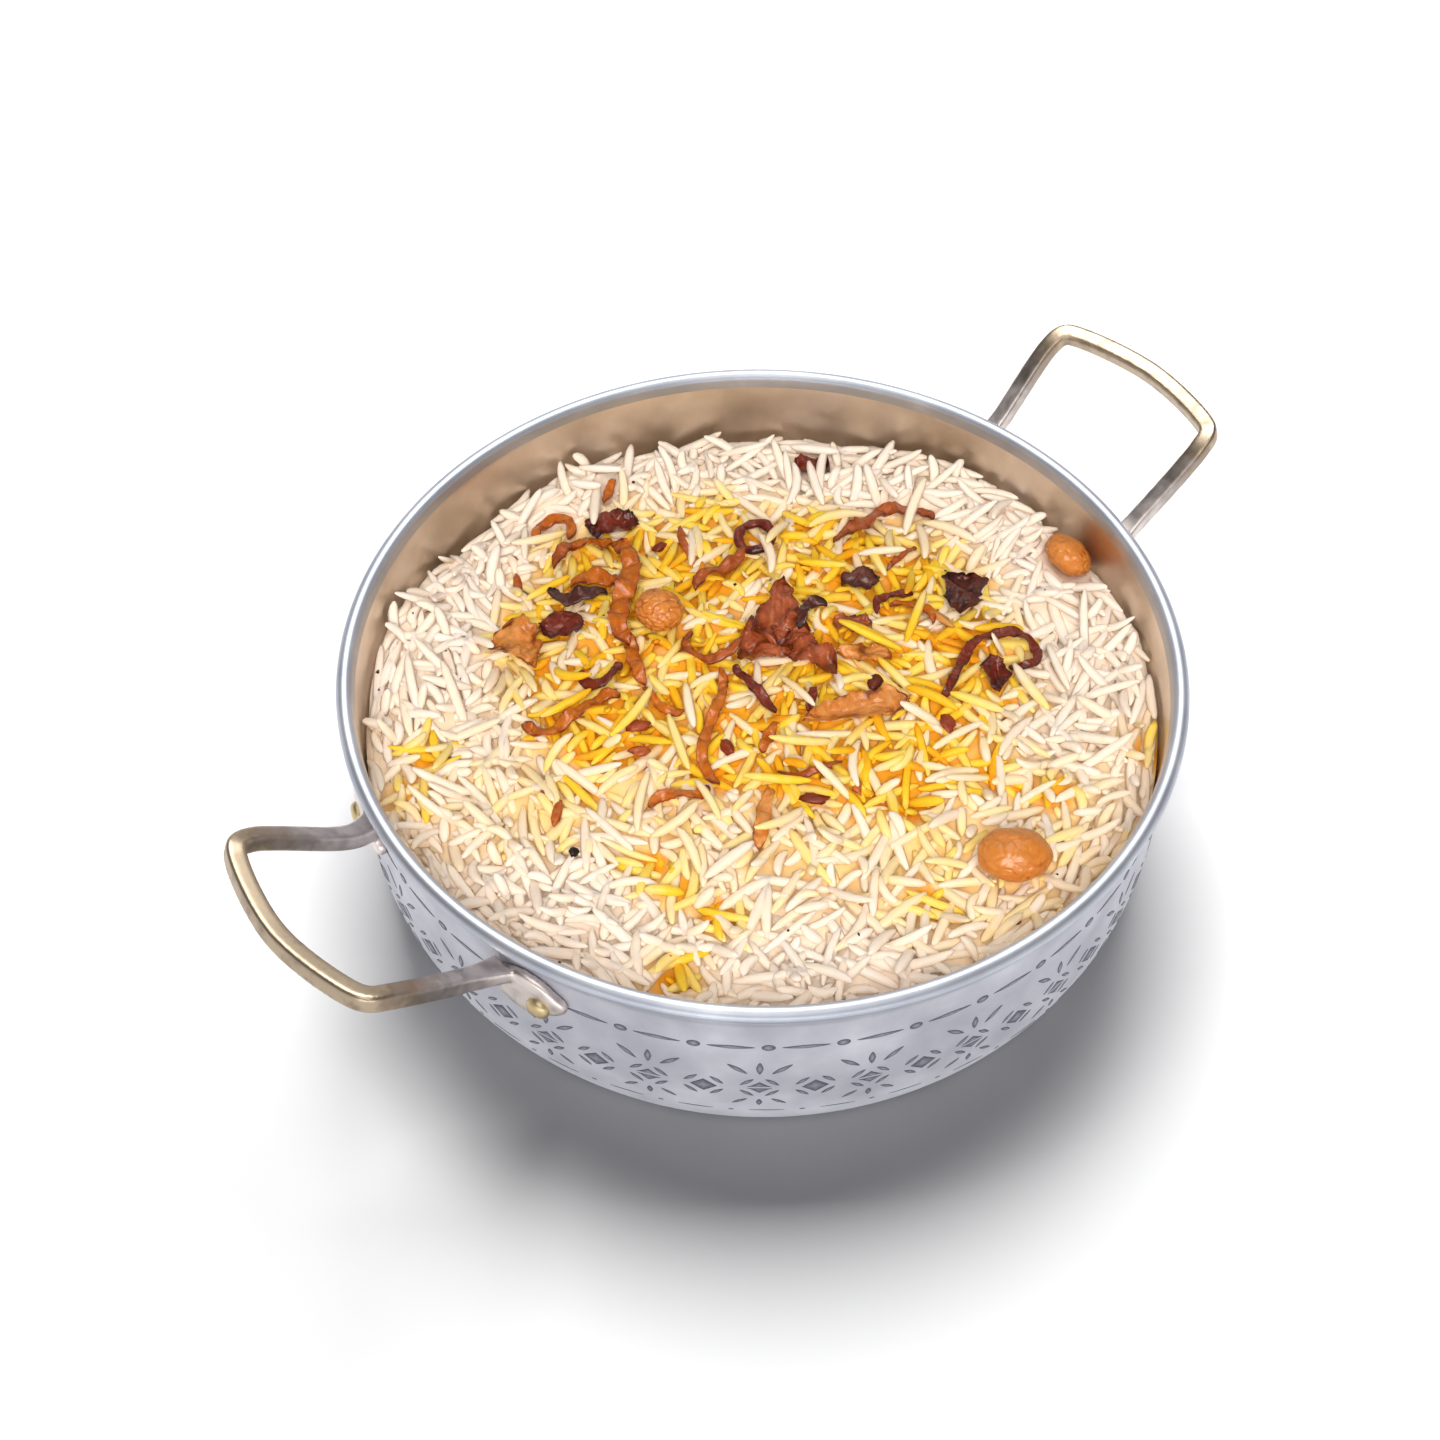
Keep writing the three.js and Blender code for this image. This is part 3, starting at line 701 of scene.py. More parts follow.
@dataclass
class Pan:
    """Spun pan: flat base, barrel wall and rolled rim."""

    wall: Wall
    rim_radius: float = 90.0
    bead: float = 3.4
    base_radius: float = 78.7
    base_corner: float = 1.6
    collar_height: float = 46.4
    collar_edge: float = 0.5
    collar_depth: float = 0.35
    floor_bend: float = 2.8
    bead_arc: tuple[float, float] = (-128, 175)
    bead_steps: int = 30
    corner_steps: int = 9
    side_steps: int = 36
    sides: int = 224

    def profile(self) -> list[np.ndarray]:
        """Radius and height from the middle of the base out, up, over the rim and down inside.

        The corner is a quadratic curve, the side follows the wall and steps out at the collar, and the bead
        is an arc.

        Returns:
            The outside, the bead and the inside, each as rows of radius and height.
        """
        t = np.linspace(0, 1, self.corner_steps)[:, None]
        start = np.array([self.base_radius, 0.0])
        bend = np.array([self.wall.radius(0.0), 0.0])
        end = np.array([self.wall.radius(self.base_corner), self.base_corner])
        corner = (1 - t) ** 2 * start + 2 * t * (1 - t) * bend + t ** 2 * end
        barrel = np.linspace(self.base_corner + 1, self.collar_height, self.side_steps)
        collar = self.collar_height + np.array([0.5, 1, 1.5]) * self.collar_edge
        up = np.concatenate([barrel, collar, [self.wall.height - self.bead]])
        proud = self.collar_depth * np.clip((up - self.collar_height) / self.collar_edge, 0, 1)
        side = np.stack([self.wall.radius(up) + proud, up], -1)
        outside = np.concatenate([[[self.base_radius / 2, 0]], corner, side])
        half = self.bead / 2
        arc = np.radians(np.linspace(*self.bead_arc, self.bead_steps))
        middle = np.array([self.rim_radius - half, self.wall.height - half])
        bead = middle + half * np.stack([np.cos(arc), np.sin(arc)], -1)
        down = np.linspace(self.wall.height - self.bead, self.floor_bend, self.side_steps)
        sheet = self.wall.sheet
        inside = np.stack([self.wall.radius(down) - sheet, down], -1)
        floor = [[self.base_radius - sheet, sheet], [self.base_radius / 2, sheet]]
        return [outside, bead, np.concatenate([inside, floor])]

    def build(self, materials: list[bpy.types.Material]) -> None:
        """Turns the profile about the axis.

        Args:
            materials: finishes of the outside, the bead and the inside.
        """
        bands = self.profile()
        radius, z = np.concatenate(bands).T
        rings = polar(radius[:, None], ring_angles(self.sides)[None], z[:, None])
        shell = loft(rings[None], np.array([[[0, 0, 0], [0, 0, self.wall.sheet]]]))
        band = np.repeat(np.arange(3), [len(rows) for rows in bands])[:-1]
        lids = np.repeat([band[0], band[-1]], self.sides)
        shell.parts = np.concatenate([np.repeat(band, self.sides), lids])
        put_piece("pan", shell, materials, ("bowl",))


@dataclass
class EtchedBand:
    """Band of rosettes, diamonds and dashes etched round the outside of the wall."""

    wall: Wall
    rosettes: int = 25
    rosette_angle: float = -131.2
    rosette_height: float = 23.5
    dashes: int = 38
    dash_angle: float = -149.1
    dash_height: float = 38.4
    foot_line_height: float = 12.3
    split_half: tuple[float, float] = (2.5, 2.1)
    split_gap: float = 0.35
    split_rise: float = 0.1
    split_frame: tuple[float, float] = (4.2, 3.6)
    top_petal: tuple[float, float] = (2.1, 0.72)
    top_petal_rise: float = 7.3
    low_petal: tuple[float, float] = (1.5, 0.62)
    low_petal_drop: float = 6.4
    top_leaf: tuple[float, float] = (2.6, 0.6)
    top_leaf_at: tuple[float, float] = (4.4, 7.0)
    top_leaf_turn: float = 40
    low_leaf: tuple[float, float] = (1.9, 0.5)
    low_leaf_at: tuple[float, float] = (3.9, -5.9)
    low_leaf_turn: float = 38
    diamond_half: tuple[float, float] = (2.7, 2.3)
    diamond_frame: tuple[float, float] = (4.3, 3.8)
    frame_dash: tuple[float, float] = (1.8, 0.5)
    frame_share: float = 0.6
    bead_half: tuple[float, float] = (1.35, 1.0)
    dash_half: tuple[float, float] = (4.7, 0.56)
    foot_line_half: tuple[float, float] = (3.6, 0.22)
    foot_dot_half: tuple[float, float] = (0.55, 0.32)
    depth: float = 0.05
    crown: float = 1.4
    corners: int = 20

    def mark(self, half: tuple[float, float], at: tuple[float, float] = (0, 0), turn: float = 0,
             power: float = 1.4, cut: float | None = None) -> np.ndarray:
        """Outline of one mark: cosine and sine of an angle, raised to a power and scaled to the half sizes.

        Args:
            half: half length and half width.
            at: its middle, along the wall and up.
            turn: degrees that its length is turned from level.
            power: 1 gives an oval, 2 a diamond, and between them a pointed leaf.
            cut: level below which a diamond is cut off, to make a triangle.

        Returns:
            Rows of the distance along the wall and up it, the last row being the middle.
        """
        angle = ring_angles(self.corners)
        x = half[0] * np.sign(np.cos(angle)) * np.abs(np.cos(angle)) ** min(power, 2)
        y = half[1] * np.sign(np.sin(angle)) * np.abs(np.sin(angle)) ** power
        if cut is not None:
            y = np.maximum(y, cut)
        shape = np.stack([x, y], -1)
        shape = np.concatenate([shape, shape.mean(0, keepdims=True)])
        c, s = math.cos(math.radians(turn)), math.sin(math.radians(turn))
        return shape @ np.array([[c, s], [-s, c]]) + np.array(at)

    def rosette(self) -> list[np.ndarray]:
        """Split diamond in a frame of four dashes, with three petals above it and three below.

        Returns:
            Outlines of its marks.
        """
        middle = (0, self.split_rise)
        marks = [self.mark(self.split_half, middle, turn, 2, self.split_gap) for turn in (0, 180)]
        marks += self.frame(*self.split_frame)
        marks.append(self.mark(self.top_petal, (0, self.top_petal_rise), 90))
        marks.append(self.mark(self.low_petal, (0, -self.low_petal_drop), 90))
        for side in (1, -1):
            top, low = ((side * x, y) for x, y in (self.top_leaf_at, self.low_leaf_at))
            marks.append(self.mark(self.top_leaf, top, side * self.top_leaf_turn))
            marks.append(self.mark(self.low_leaf, low, -side * self.low_leaf_turn))
        return marks

    def diamond(self) -> list[np.ndarray]:
        """Solid diamond in a frame of four dashes."""
        return [self.mark(self.diamond_half, power=2)] + self.frame(*self.diamond_frame)

    def frame(self, reach: float, rise: float) -> list[np.ndarray]:
        """Four dashes set as the sides of a diamond.

        Args:
            reach: half width of the diamond.
            rise: half height of the diamond.

        Returns:
            Outlines of the dashes.
        """
        slope = math.degrees(math.atan2(rise, reach))
        x, y = self.frame_share * reach, self.frame_share * rise
        return [self.mark(self.frame_dash, (i * x, j * y), -i * j * slope) for i in (1, -1) for j in (1, -1)]

    def wrapped(self, marks: list[np.ndarray], count: int, first: float, height: float) -> np.ndarray:
        """Repeats marks round the wall: distance along it becomes an angle at the wall's radius there.

        Args:
            marks: outlines of one motif.
            count: repeats round the pan.
            first: angle of the first motif, in degrees.
            height: level of the motif's middle.

        Returns:
            Marks x 2 x corners: angle and height of each outline and of its middle.
        """
        flat = np.stack(marks)
        z = height + flat[..., 1]
        turn = math.radians(first) + ring_angles(count)
        angle = turn[:, None, None] + flat[None, ..., 0] / self.wall.radius(z)[None]
        z = np.broadcast_to(z, angle.shape)
        return np.stack([angle, z], 1).transpose(0, 2, 1, 3).reshape(-1, 2, self.corners + 1)

    def build(self, material: bpy.types.Material) -> None:
        """Makes each mark a thin tile on the wall: three rings of its outline, shut by its middle.

        Args:
            material: finish of the marks.
        """
        rosettes, between = self.rosette_angle, self.rosette_angle + 180 / self.rosettes
        beads, dashes = self.dash_angle, self.dash_angle + 180 / self.dashes
        low = self.foot_line_height
        tiles = np.concatenate([
            self.wrapped(self.rosette(), self.rosettes, rosettes, self.rosette_height),
            self.wrapped(self.diamond(), self.rosettes, between, self.rosette_height),
            self.wrapped([self.mark(self.bead_half, power=1)], self.dashes, beads, self.dash_height),
            self.wrapped([self.mark(self.dash_half)], self.dashes, dashes, self.dash_height),
            self.wrapped([self.mark(self.foot_line_half)], self.dashes, beads, low),
            self.wrapped([self.mark(self.foot_dot_half, power=1)], self.dashes, dashes, low),
        ])
        edge, middle = tiles[..., :-1], tiles[..., -1:]
        top = self.crown * self.depth
        rings = []
        for scale, lift in ((1, -self.depth), (1, self.depth), (0.85, top)):
            angle, z = (middle + scale * (edge - middle)).transpose(1, 0, 2)
            rings.append(polar(self.wall.radius(z) + lift, angle, z))
        angle, z = middle.transpose(1, 0, 2)
        ends = [polar(self.wall.radius(z) + lift, angle, z) for lift in (-self.depth, top)]
        shell = loft(np.stack(rings, 1), np.concatenate(ends, 1))
        darkness = np.append(np.repeat([0.9, 0.9, 0.7], self.corners), [0.9, 0.1])
        shell.tags["rim"] = np.tile(darkness, len(tiles))
        put_piece("etched_band", shell, [material])


def smooth_path(points: np.ndarray, steps: int) -> np.ndarray:
    """Smooth curve through points: a cubic between neighbours, with slopes from the points on either side.

    The slopes weigh each gap by the square root of its length, so that the curve makes no loops.

    Args:
        points: points that it passes through.
        steps: points made between two neighbours.

    Returns:
        Points along the curve.
    """
    outer = np.concatenate([2 * points[:1] - points[1:2], points, 2 * points[-1:] - points[-2:-1]])
    gap = np.sqrt(np.linalg.norm(np.diff(outer, axis=0), axis=1))[:, None]
    a, b, c = gap[:-2], gap[1:-1], gap[2:]
    p0, p1, p2, p3 = outer[:-3], outer[1:-2], outer[2:-1], outer[3:]
    slope_in = b * ((p1 - p0) / a - (p2 - p0) / (a + b) + (p2 - p1) / b)
    slope_out = b * ((p2 - p1) / b - (p3 - p1) / (b + c) + (p3 - p2) / c)
    t = np.linspace(0, 1, steps, endpoint=False)[None, :, None]
    p1, p2, slope_in, slope_out = (value[:, None] for value in (p1, p2, slope_in, slope_out))
    bent = (-3 * p1 + 3 * p2 - 2 * slope_in - slope_out) * t ** 2
    cubic = (2 * p1 - 2 * p2 + slope_in + slope_out) * t ** 3
    return np.concatenate([(p1 + slope_in * t + bent + cubic).reshape(-1, 3), points[-1:]])


@dataclass
class Handle:
    """Bent brass bar whose two arms flare into oval feet, each held to the wall by a rivet."""

    wall: Wall
    side: str
    turned: bool
    bar: float = 4.0
    arm_spread: float = 21.6
    arm_root_height: float = 43.2
    arm_straight: float = 5.0
    arm_flare: float = 0.9
    arm_flare_length: float = 9.0
    corner_reach: float = 114.8
    corner_spread: float = 23.2
    corner_round: float = 4.0
    corner_cut: tuple[float, float, float] = (0.5, 0.9, 0.2)
    grip_reach: float = 119.6
    grip_height: float = 62.0
    foot_length: float = 19.0
    foot_height: float = 12.4
    foot_thick: float = 2.2
    foot_rows: tuple[tuple[float, float], ...] = (
        (1, 0.1), (1, 1.1), (0.96, 1.7), (0.86, 2.05), (0.6, 2.2), (0.3, 2.2))
    foot_narrowing: float = 0.22
    foot_pointing: float = 0.55
    foot_sides: int = 64
    foot_centre_height: float = 39.2
    foot_along_wall: float = 28.0
    rivet_radius: float = 2.6
    rivet_height: float = 1.5
    rivet_centre_height: float = 37.6
    rivet_along_wall: float = 31.6
    rivet_root: float = 0.6
    rivet_steps: int = 9
    rivet_crown: float = 0.12
    rivet_fullness: float = 0.8
    along_radius: float = 90.0
    squareness: float = 7.0
    path_steps: int = 16
    bar_sides: int = 28
    voxel: float = 0.36
    blend_share: float = 0.5
    blend_turns: int = 2

    def root_reach(self) -> float:
        """How far out along X an arm starts, in the middle of its foot's thickness."""
        root_radius = float(self.wall.radius(self.arm_root_height)) + GAP + self.foot_thick / 2
        return math.sqrt(root_radius ** 2 - self.arm_spread ** 2)

    def path(self) -> np.ndarray:
        """Centre line of the bar from one foot round the grip to the other.

        Returns:
            Points of a smooth curve through an arm, a rounded corner, the middle of the grip and back.
        """
        root = self.root_reach()
        corner = np.array([self.corner_reach, self.corner_spread, self.grip_height])
        half = np.array([
            [root, self.arm_spread, self.arm_root_height],
            [root + self.arm_straight, self.arm_spread, self.arm_root_height + self.arm_straight / 3],
            corner - [self.corner_round, 0, self.corner_round / 2],
            corner - self.corner_cut,
            corner + [self.corner_round / 3, -self.corner_round, 0],
        ])
        middle = np.array([[self.grip_reach, 0, self.grip_height]])
        return smooth_path(np.concatenate([half, middle, half[::-1] * [1, -1, 1]]), self.path_steps)

    def bent_bar(self) -> Shell:
        """A rounded square carried along the path without twisting, widened outwards near the wall.

        At each point its sideways axis is the last one, less its part along the path.

        Returns:
            The bar, shut at both ends.
        """
        path = self.path()
        along = np.gradient(path, axis=0)
        along /= np.linalg.norm(along, axis=1, keepdims=True)
        across = np.zeros_like(path)
        across[0] = [0, 1, 0]
        for i in range(1, len(path)):
            across[i] = across[i - 1] - along[i] * (across[i - 1] @ along[i])
            across[i] /= np.linalg.norm(across[i])
        up = np.cross(along, across)
        angle = ring_angles(self.bar_sides)
        round_off = np.abs(np.cos(angle)) ** self.squareness + np.abs(np.sin(angle)) ** self.squareness
        reach = self.bar / 2 / round_off ** (1 / self.squareness)
        rings = (path[:, None] + across[:, None] * (reach * np.cos(angle))[None, :, None]
                 + up[:, None] * (reach * np.sin(angle))[None, :, None])
        near = np.clip(1 - (rings[..., 0] - self.root_reach()) / self.arm_flare_length, 0, None)
        outwards = np.clip(np.abs(rings[..., 1]) - self.arm_spread, 0, None)
        rings[..., 1] += np.sign(rings[..., 1]) * outwards * self.arm_flare * near ** 2
        return loft(rings[None], path[None, [0, -1]])

    def foot(self, sign: int) -> Shell:
        """Oval plate on the wall: rings of its outline from the back, round the edge and in over the front.

        Args:
            sign: 1 for the foot on one side of the handle, -1 for the other.

        Returns:
            The plate.
        """
        angle = ring_angles(self.foot_sides)
        square = np.stack([np.cos(angle), np.sin(angle)], -1)
        square /= np.abs(square).max(axis=1, keepdims=True)
        x, y = square.T
        along = x * (self.foot_length / 2) * (1 - self.foot_narrowing * y ** 2)
        up = y * (self.foot_height / 2) * (1 - self.foot_pointing * x ** 2)
        rows = np.array(self.foot_rows)
        scale, lift = rows[:, :1], rows[:, 1:]
        z = self.foot_centre_height + scale * up[None]
        turn = (sign * self.foot_along_wall + scale * along[None]) / self.along_radius
        rings = polar(self.wall.radius(z) + lift, turn, z)
        middle = np.array([self.foot_centre_height])
        centre = sign * self.foot_along_wall / self.along_radius
        ends = [polar(self.wall.radius(middle) + lift, centre, middle)
                for lift in (self.foot_rows[0][1], self.foot_thick)]
        return loft(rings[None], np.concatenate(ends)[None])

    def rivet(self, sign: int) -> Shell:
        """Domed head: a quarter of an oval turned about the rivet's axis, which points out of the wall.

        Args:
            sign: 1 for the foot on one side of the handle, -1 for the other.

        Returns:
            The head, let a little into the foot.
        """
        t = np.linspace(self.rivet_crown, 1, self.rivet_steps)[::-1] * np.pi / 2
        radius = np.append(self.rivet_radius, self.rivet_radius * np.sin(t) ** self.rivet_fullness)
        height = np.append(-self.rivet_root, self.rivet_height * np.cos(t))
        angle = ring_angles(self.bar_sides)
        turn = sign * self.rivet_along_wall / self.along_radius
        out = np.array([math.cos(turn), math.sin(turn), 0])
        sideways, up = np.array([-math.sin(turn), math.cos(turn), 0]), np.array([0, 0, 1])
        seat_radius = float(self.wall.radius(self.rivet_centre_height)) + self.foot_thick
        seat = out * seat_radius + up * self.rivet_centre_height
        flat = sideways * np.cos(angle)[:, None] + up * np.sin(angle)[:, None]
        rings = seat + out * height[:, None, None] + flat[None] * radius[:, None, None]
        ends = np.stack([seat - self.rivet_root * out, seat + self.rivet_height * out])
        return loft(rings[None], ends[None])

    def turn_about(self, shell: Shell) -> Shell:
        """Turns a shell half round the pan's axis where this is the second handle.

        Args:
            shell: a piece of the first handle.

        Returns:
            The same shell, at this handle's place.
        """
        if self.turned:
            shell.points = shell.points * [-1, -1, 1]
        return shell

    def build(self, brass: bpy.types.Material, rivet_brass: bpy.types.Material) -> None:
        """Fuses bar and feet as one casting, and adds the rivets.

        Args:
            brass: finish of the casting.
            rivet_brass: finish of the rivets.
        """
        casting = self.turn_about(joined([self.bent_bar(), self.foot(1), self.foot(-1)]))
        handle = f"handle_{self.side}"
        piece = put_piece(f"{handle}_cast", casting, [brass], (handle,))
        fuse = piece.modifiers.new("fuse", "REMESH")
        fuse.mode = "VOXEL"
        fuse.voxel_size = self.voxel * MM
        fuse.use_smooth_shade = True
        blend = piece.modifiers.new("blend", "SMOOTH")
        blend.factor = self.blend_share
        blend.iterations = self.blend_turns
        for number, sign in enumerate((1, -1), start=1):
            rivet = f"rivet_{self.side}_{number}"
            head = self.turn_about(self.rivet(sign))
            put_piece(f"{rivet}_head", head, [rivet_brass], (rivet,))


@dataclass(frozen=True)
class Mound:
    """Height of the heaped rice: highest in the middle, lowest along the wall on one side."""

    wall: Wall
    middle_height: float = 41.0
    edge_height: float = 33.5
    edge_swing: float = 3.5
    low_side: float = 70.0

    def top(self, x: np.ndarray, y: np.ndarray) -> np.ndarray:
        """Height over a place: it falls with the square of the distance to the edge's height at that angle.

        Args:
            x: places along X.
            y: places along Y.

        Returns:
            The height at each place.
        """
        spread = np.hypot(x, y) / self.wall.room(self.edge_height)
        edge = self.edge_height - self.edge_swing * np.cos(np.arctan2(y, x) - math.radians(self.low_side))
        return self.middle_height + (edge - self.middle_height) * spread ** 2


def closer_at_ends(count: int) -> np.ndarray:
    """Places between 0 and 1 that lie closer near both ends: even steps blended with a cosine."""
    even = np.linspace(0.004, 0.996, count)
    return 0.4 * even + 0.3 * (1 - np.cos(np.pi * even))


@dataclass(frozen=True)
class Strip:
    """A fried onion strip: its start, heading, length and bend in plan, its width, lift and colour."""

    at: tuple[float, float]
    heading: float
    length: float
    width: float
    fry: Fry
    turn: float = 0
    hook: float = 0
    lift: float = 0
    beside: tuple["Strip", ...] = ()
    ragged: ClassVar[Layers] = ((0.17, 4.5, 0), (0.09, 1.6, 20))
    crumple: ClassVar[Layers] = ((0.34, 4.5, 40), (0.2, 1.7, 45))
    fibre: ClassVar[tuple[float, float]] = (0.07, 0.8)
    twist: ClassVar[tuple[float, float]] = (0.5, 11.0)
    ripple: ClassVar[float] = 0.6
    cup: ClassVar[float] = 0.2
    thickness: ClassVar[float] = 0.62
    thin: ClassVar[float] = 0.9
    thick: ClassVar[float] = 1.7
    fine_steps: ClassVar[int] = 600
    sides: ClassVar[int] = 20

    def shell(self, mound: Mound, number: int) -> Shell:
        """The strip with the bands that hang together with it.

        Args:
            mound: the heap that it lies on.
            number: seeds its crumples.

        Returns:
            All the bands as one shell.
        """
        bands = [strip.band(mound, number + 7 * i) for i, strip in enumerate((self, *self.beside))]
        return joined(bands)

    def band(self, mound: Mound, number: int) -> Shell:
        """A flat oval carried along a curve whose heading turns evenly and then faster or slower.

        Args:
            mound: the heap that it lies on.
            number: seeds its crumples.

        Returns:
            The strip, cupped across, wavy and twisted along, and pointed at both ends.
        """
        fine = np.linspace(0, 1, self.fine_steps)
        bearing = np.radians(self.heading + self.turn * fine + self.hook * fine ** 2)
        steps = np.stack([np.cos(bearing), np.sin(bearing)], -1) * self.length / self.fine_steps
        path = np.array(self.at) + np.cumsum(steps, axis=0)
        t = closer_at_ends(max(40, int(self.length * 3)))
        x, y = (np.interp(t, fine, path[:, i])[:, None] for i in (0, 1))
        bearing = np.interp(t, fine, bearing)[:, None]
        angle = ring_angles(self.sides)[None]
        side, up = np.cos(angle), np.sin(angle)
        ends = np.abs(2 * t - 1)[:, None]
        taper = (1 - 0.45 * ends ** 4) * np.sqrt(1 - ends ** 16)
        edges = np.stack(np.broadcast_arrays((t * self.length)[:, None], 6 * np.sign(side)), -1)
        swing, run = self.twist
        twist = swing * np.sin(2 * np.pi * t * self.length / run + 2.3 * number)[:, None]
        breadth = side * self.width / 2 * taper * (1 + relief(edges, self.ragged, number))
        across = breadth * np.cos(twist)
        rise = breadth * np.sin(twist) + np.abs(np.sin(twist)) * self.width / 2
        x, y = x - np.sin(bearing) * across, y + np.cos(bearing) * across
        wave = self.ripple * (1 + np.sin(0.55 * self.length * t + self.length))[:, None]
        rib, rib_gap = self.fibre
        fibre = rib * np.cos(2 * np.pi * across / rib_gap) * np.clip(up, 0, None)
        crumple = relief(np.stack([x, y], -1), self.crumple, number)
        under = mound.top(x, y) + GAP + self.lift + wave + self.cup * self.width * side ** 2
        thick = min(self.thick, max(self.thin, self.thickness * self.width))
        z = under + rise * taper + thick / 2 * (1 + up * np.sqrt(taper)) + fibre + crumple
        rings = np.stack([x, y, z], -1)
        shell = loft(rings[None], rings[[0, -1]].mean(1)[None])
        edge = 0.32 * np.abs(side) ** 3 + 0.35 * ends ** 6
        shell.tags["edge"] = np.append(edge.ravel(), [0.6, 0.6])
        return shell


@dataclass(frozen=True)
class Flake:
    """A fried onion flake: its middle, heading, length, width at each end, ruffle, curl and colour."""

    at: tuple[float, float]
    heading: float
    length: float
    widths: tuple[float, float]
    ruffle: float
    curl: float
    fry: Fry
    lift: float = 0
    lobes: tuple["Flake", ...] = ()
    thick: ClassVar[float] = 1.1
    torn: ClassVar[Layers] = ((0.17, 1.1, 60), (0.1, 0.45, 70), (0.07, 0.2, 75))
    folds: ClassVar[Layers] = ((1.0, 8.0, 80),)
    puckers: ClassVar[Layers] = ((0.64, 3.2, 90),)
    crumple: ClassVar[Layers] = ((0.24, 1.9, 120),)
    sway_x: ClassVar[Layers] = ((0.5, 4.1, 100),)
    sway_y: ClassVar[Layers] = ((0.5, 4.1, 110),)
    fibre: ClassVar[tuple[float, float]] = (0.13, 1.5)
    fibre_bend: ClassVar[Layers] = ((2.0, 6.0, 95),)
    rings: ClassVar[int] = 44
    sides: ClassVar[int] = 56

    def shell(self, mound: Mound, number: int) -> Shell:
        """The flake with the sheets that are folded into it.

        Args:
            mound: the heap that it lies on.
            number: its place in the list, from 0, which sets its ruffles.

        Returns:
            All the sheets as one shell.
        """
        sheets = [flake.sheet(mound, number + 13 * i) for i, flake in enumerate((self, *self.lobes))]
        return joined(sheets)

    def sheet(self, mound: Mound, number: int) -> Shell:
        """A rounded sheet, ruffled all over, crumpled finely and curled up at its long sides.

        Args:
            mound: the heap that it lies on.
            number: its place in the list, from 0, which sets its ruffles.

        Returns:
            The flake as a closed sheet.
        """
        t = closer_at_ends(self.rings)[:, None]
        angle = ring_angles(self.sides)[None]
        side, up = np.cos(angle), np.sin(angle)
        ends = np.abs(2 * t - 1)
        outline = (1 - 0.4 * ends ** 4) * np.sqrt(1 - ends ** 12)
        rough = np.stack(np.broadcast_arrays(3 * t, 2 * np.sign(side)), -1)
        along = (t - 0.5) * self.length * (1 - 0.14 * side ** 2)
        width = self.widths[0] + (self.widths[1] - self.widths[0]) * t
        across = side * 0.5 * width * outline * (1 + relief(rough, self.torn, number))
        heading = math.radians(self.heading)
        x = self.at[0] + math.cos(heading) * along - math.sin(heading) * across
        y = self.at[1] + math.sin(heading) * along + math.cos(heading) * across
        wave = np.sin(6.5 * t + 2 * number) * np.cos(2.3 * side + number)
        plan = np.stack([x, y], -1)
        fold = relief(plan, self.folds, number)
        rib, rib_gap = self.fibre
        bent = relief(plan, self.fibre_bend, number)
        ribs = np.cos(2 * np.pi * across / rib_gap + bent) * np.clip(up, 0, None)
        crumple = self.ruffle * 0.25 * (1 + fold + relief(plan, self.puckers, number)) + rib * ribs
        crumple = crumple + relief(plan, self.crumple, number)
        x, y = x + relief(plan, self.sway_x, number), y + relief(plan, self.sway_y, number)
        under = mound.top(x, y) + GAP + self.lift + 0.5 * self.ruffle * (1 + wave) + self.curl * side ** 2
        z = under + self.thick / 2 * (1 + up) + crumple
        rings = np.stack([x, y, z], -1)
        shell = loft(rings[None], rings[[0, -1]].mean(1)[None])
        # The edge value also grows where the folds lie low, so besides its burnt rim the flake is painted
        # darker in its hollows: painted shade.
        edge = np.broadcast_to(0.25 * np.abs(side) ** 4 + 0.25 * ends ** 6 + 0.12 - 0.2 * fold, x.shape)
        shell.tags["edge"] = np.append(edge.ravel(), [0.5, 0.5])
        return shell


def unit_ball(rows: int, columns: int) -> np.ndarray:
    """Rings of a ball of radius 1 between its poles: sines and cosines of the angles from and about Z.

    Args:
        rows: rings, without the poles.
        columns: points in a ring.

    Returns:
        Rows x columns x 3.
    """
    from_pole = np.linspace(0, np.pi, rows + 2)[1:-1, None]
    return polar(np.sin(from_pole), ring_angles(columns)[None], np.cos(from_pole))


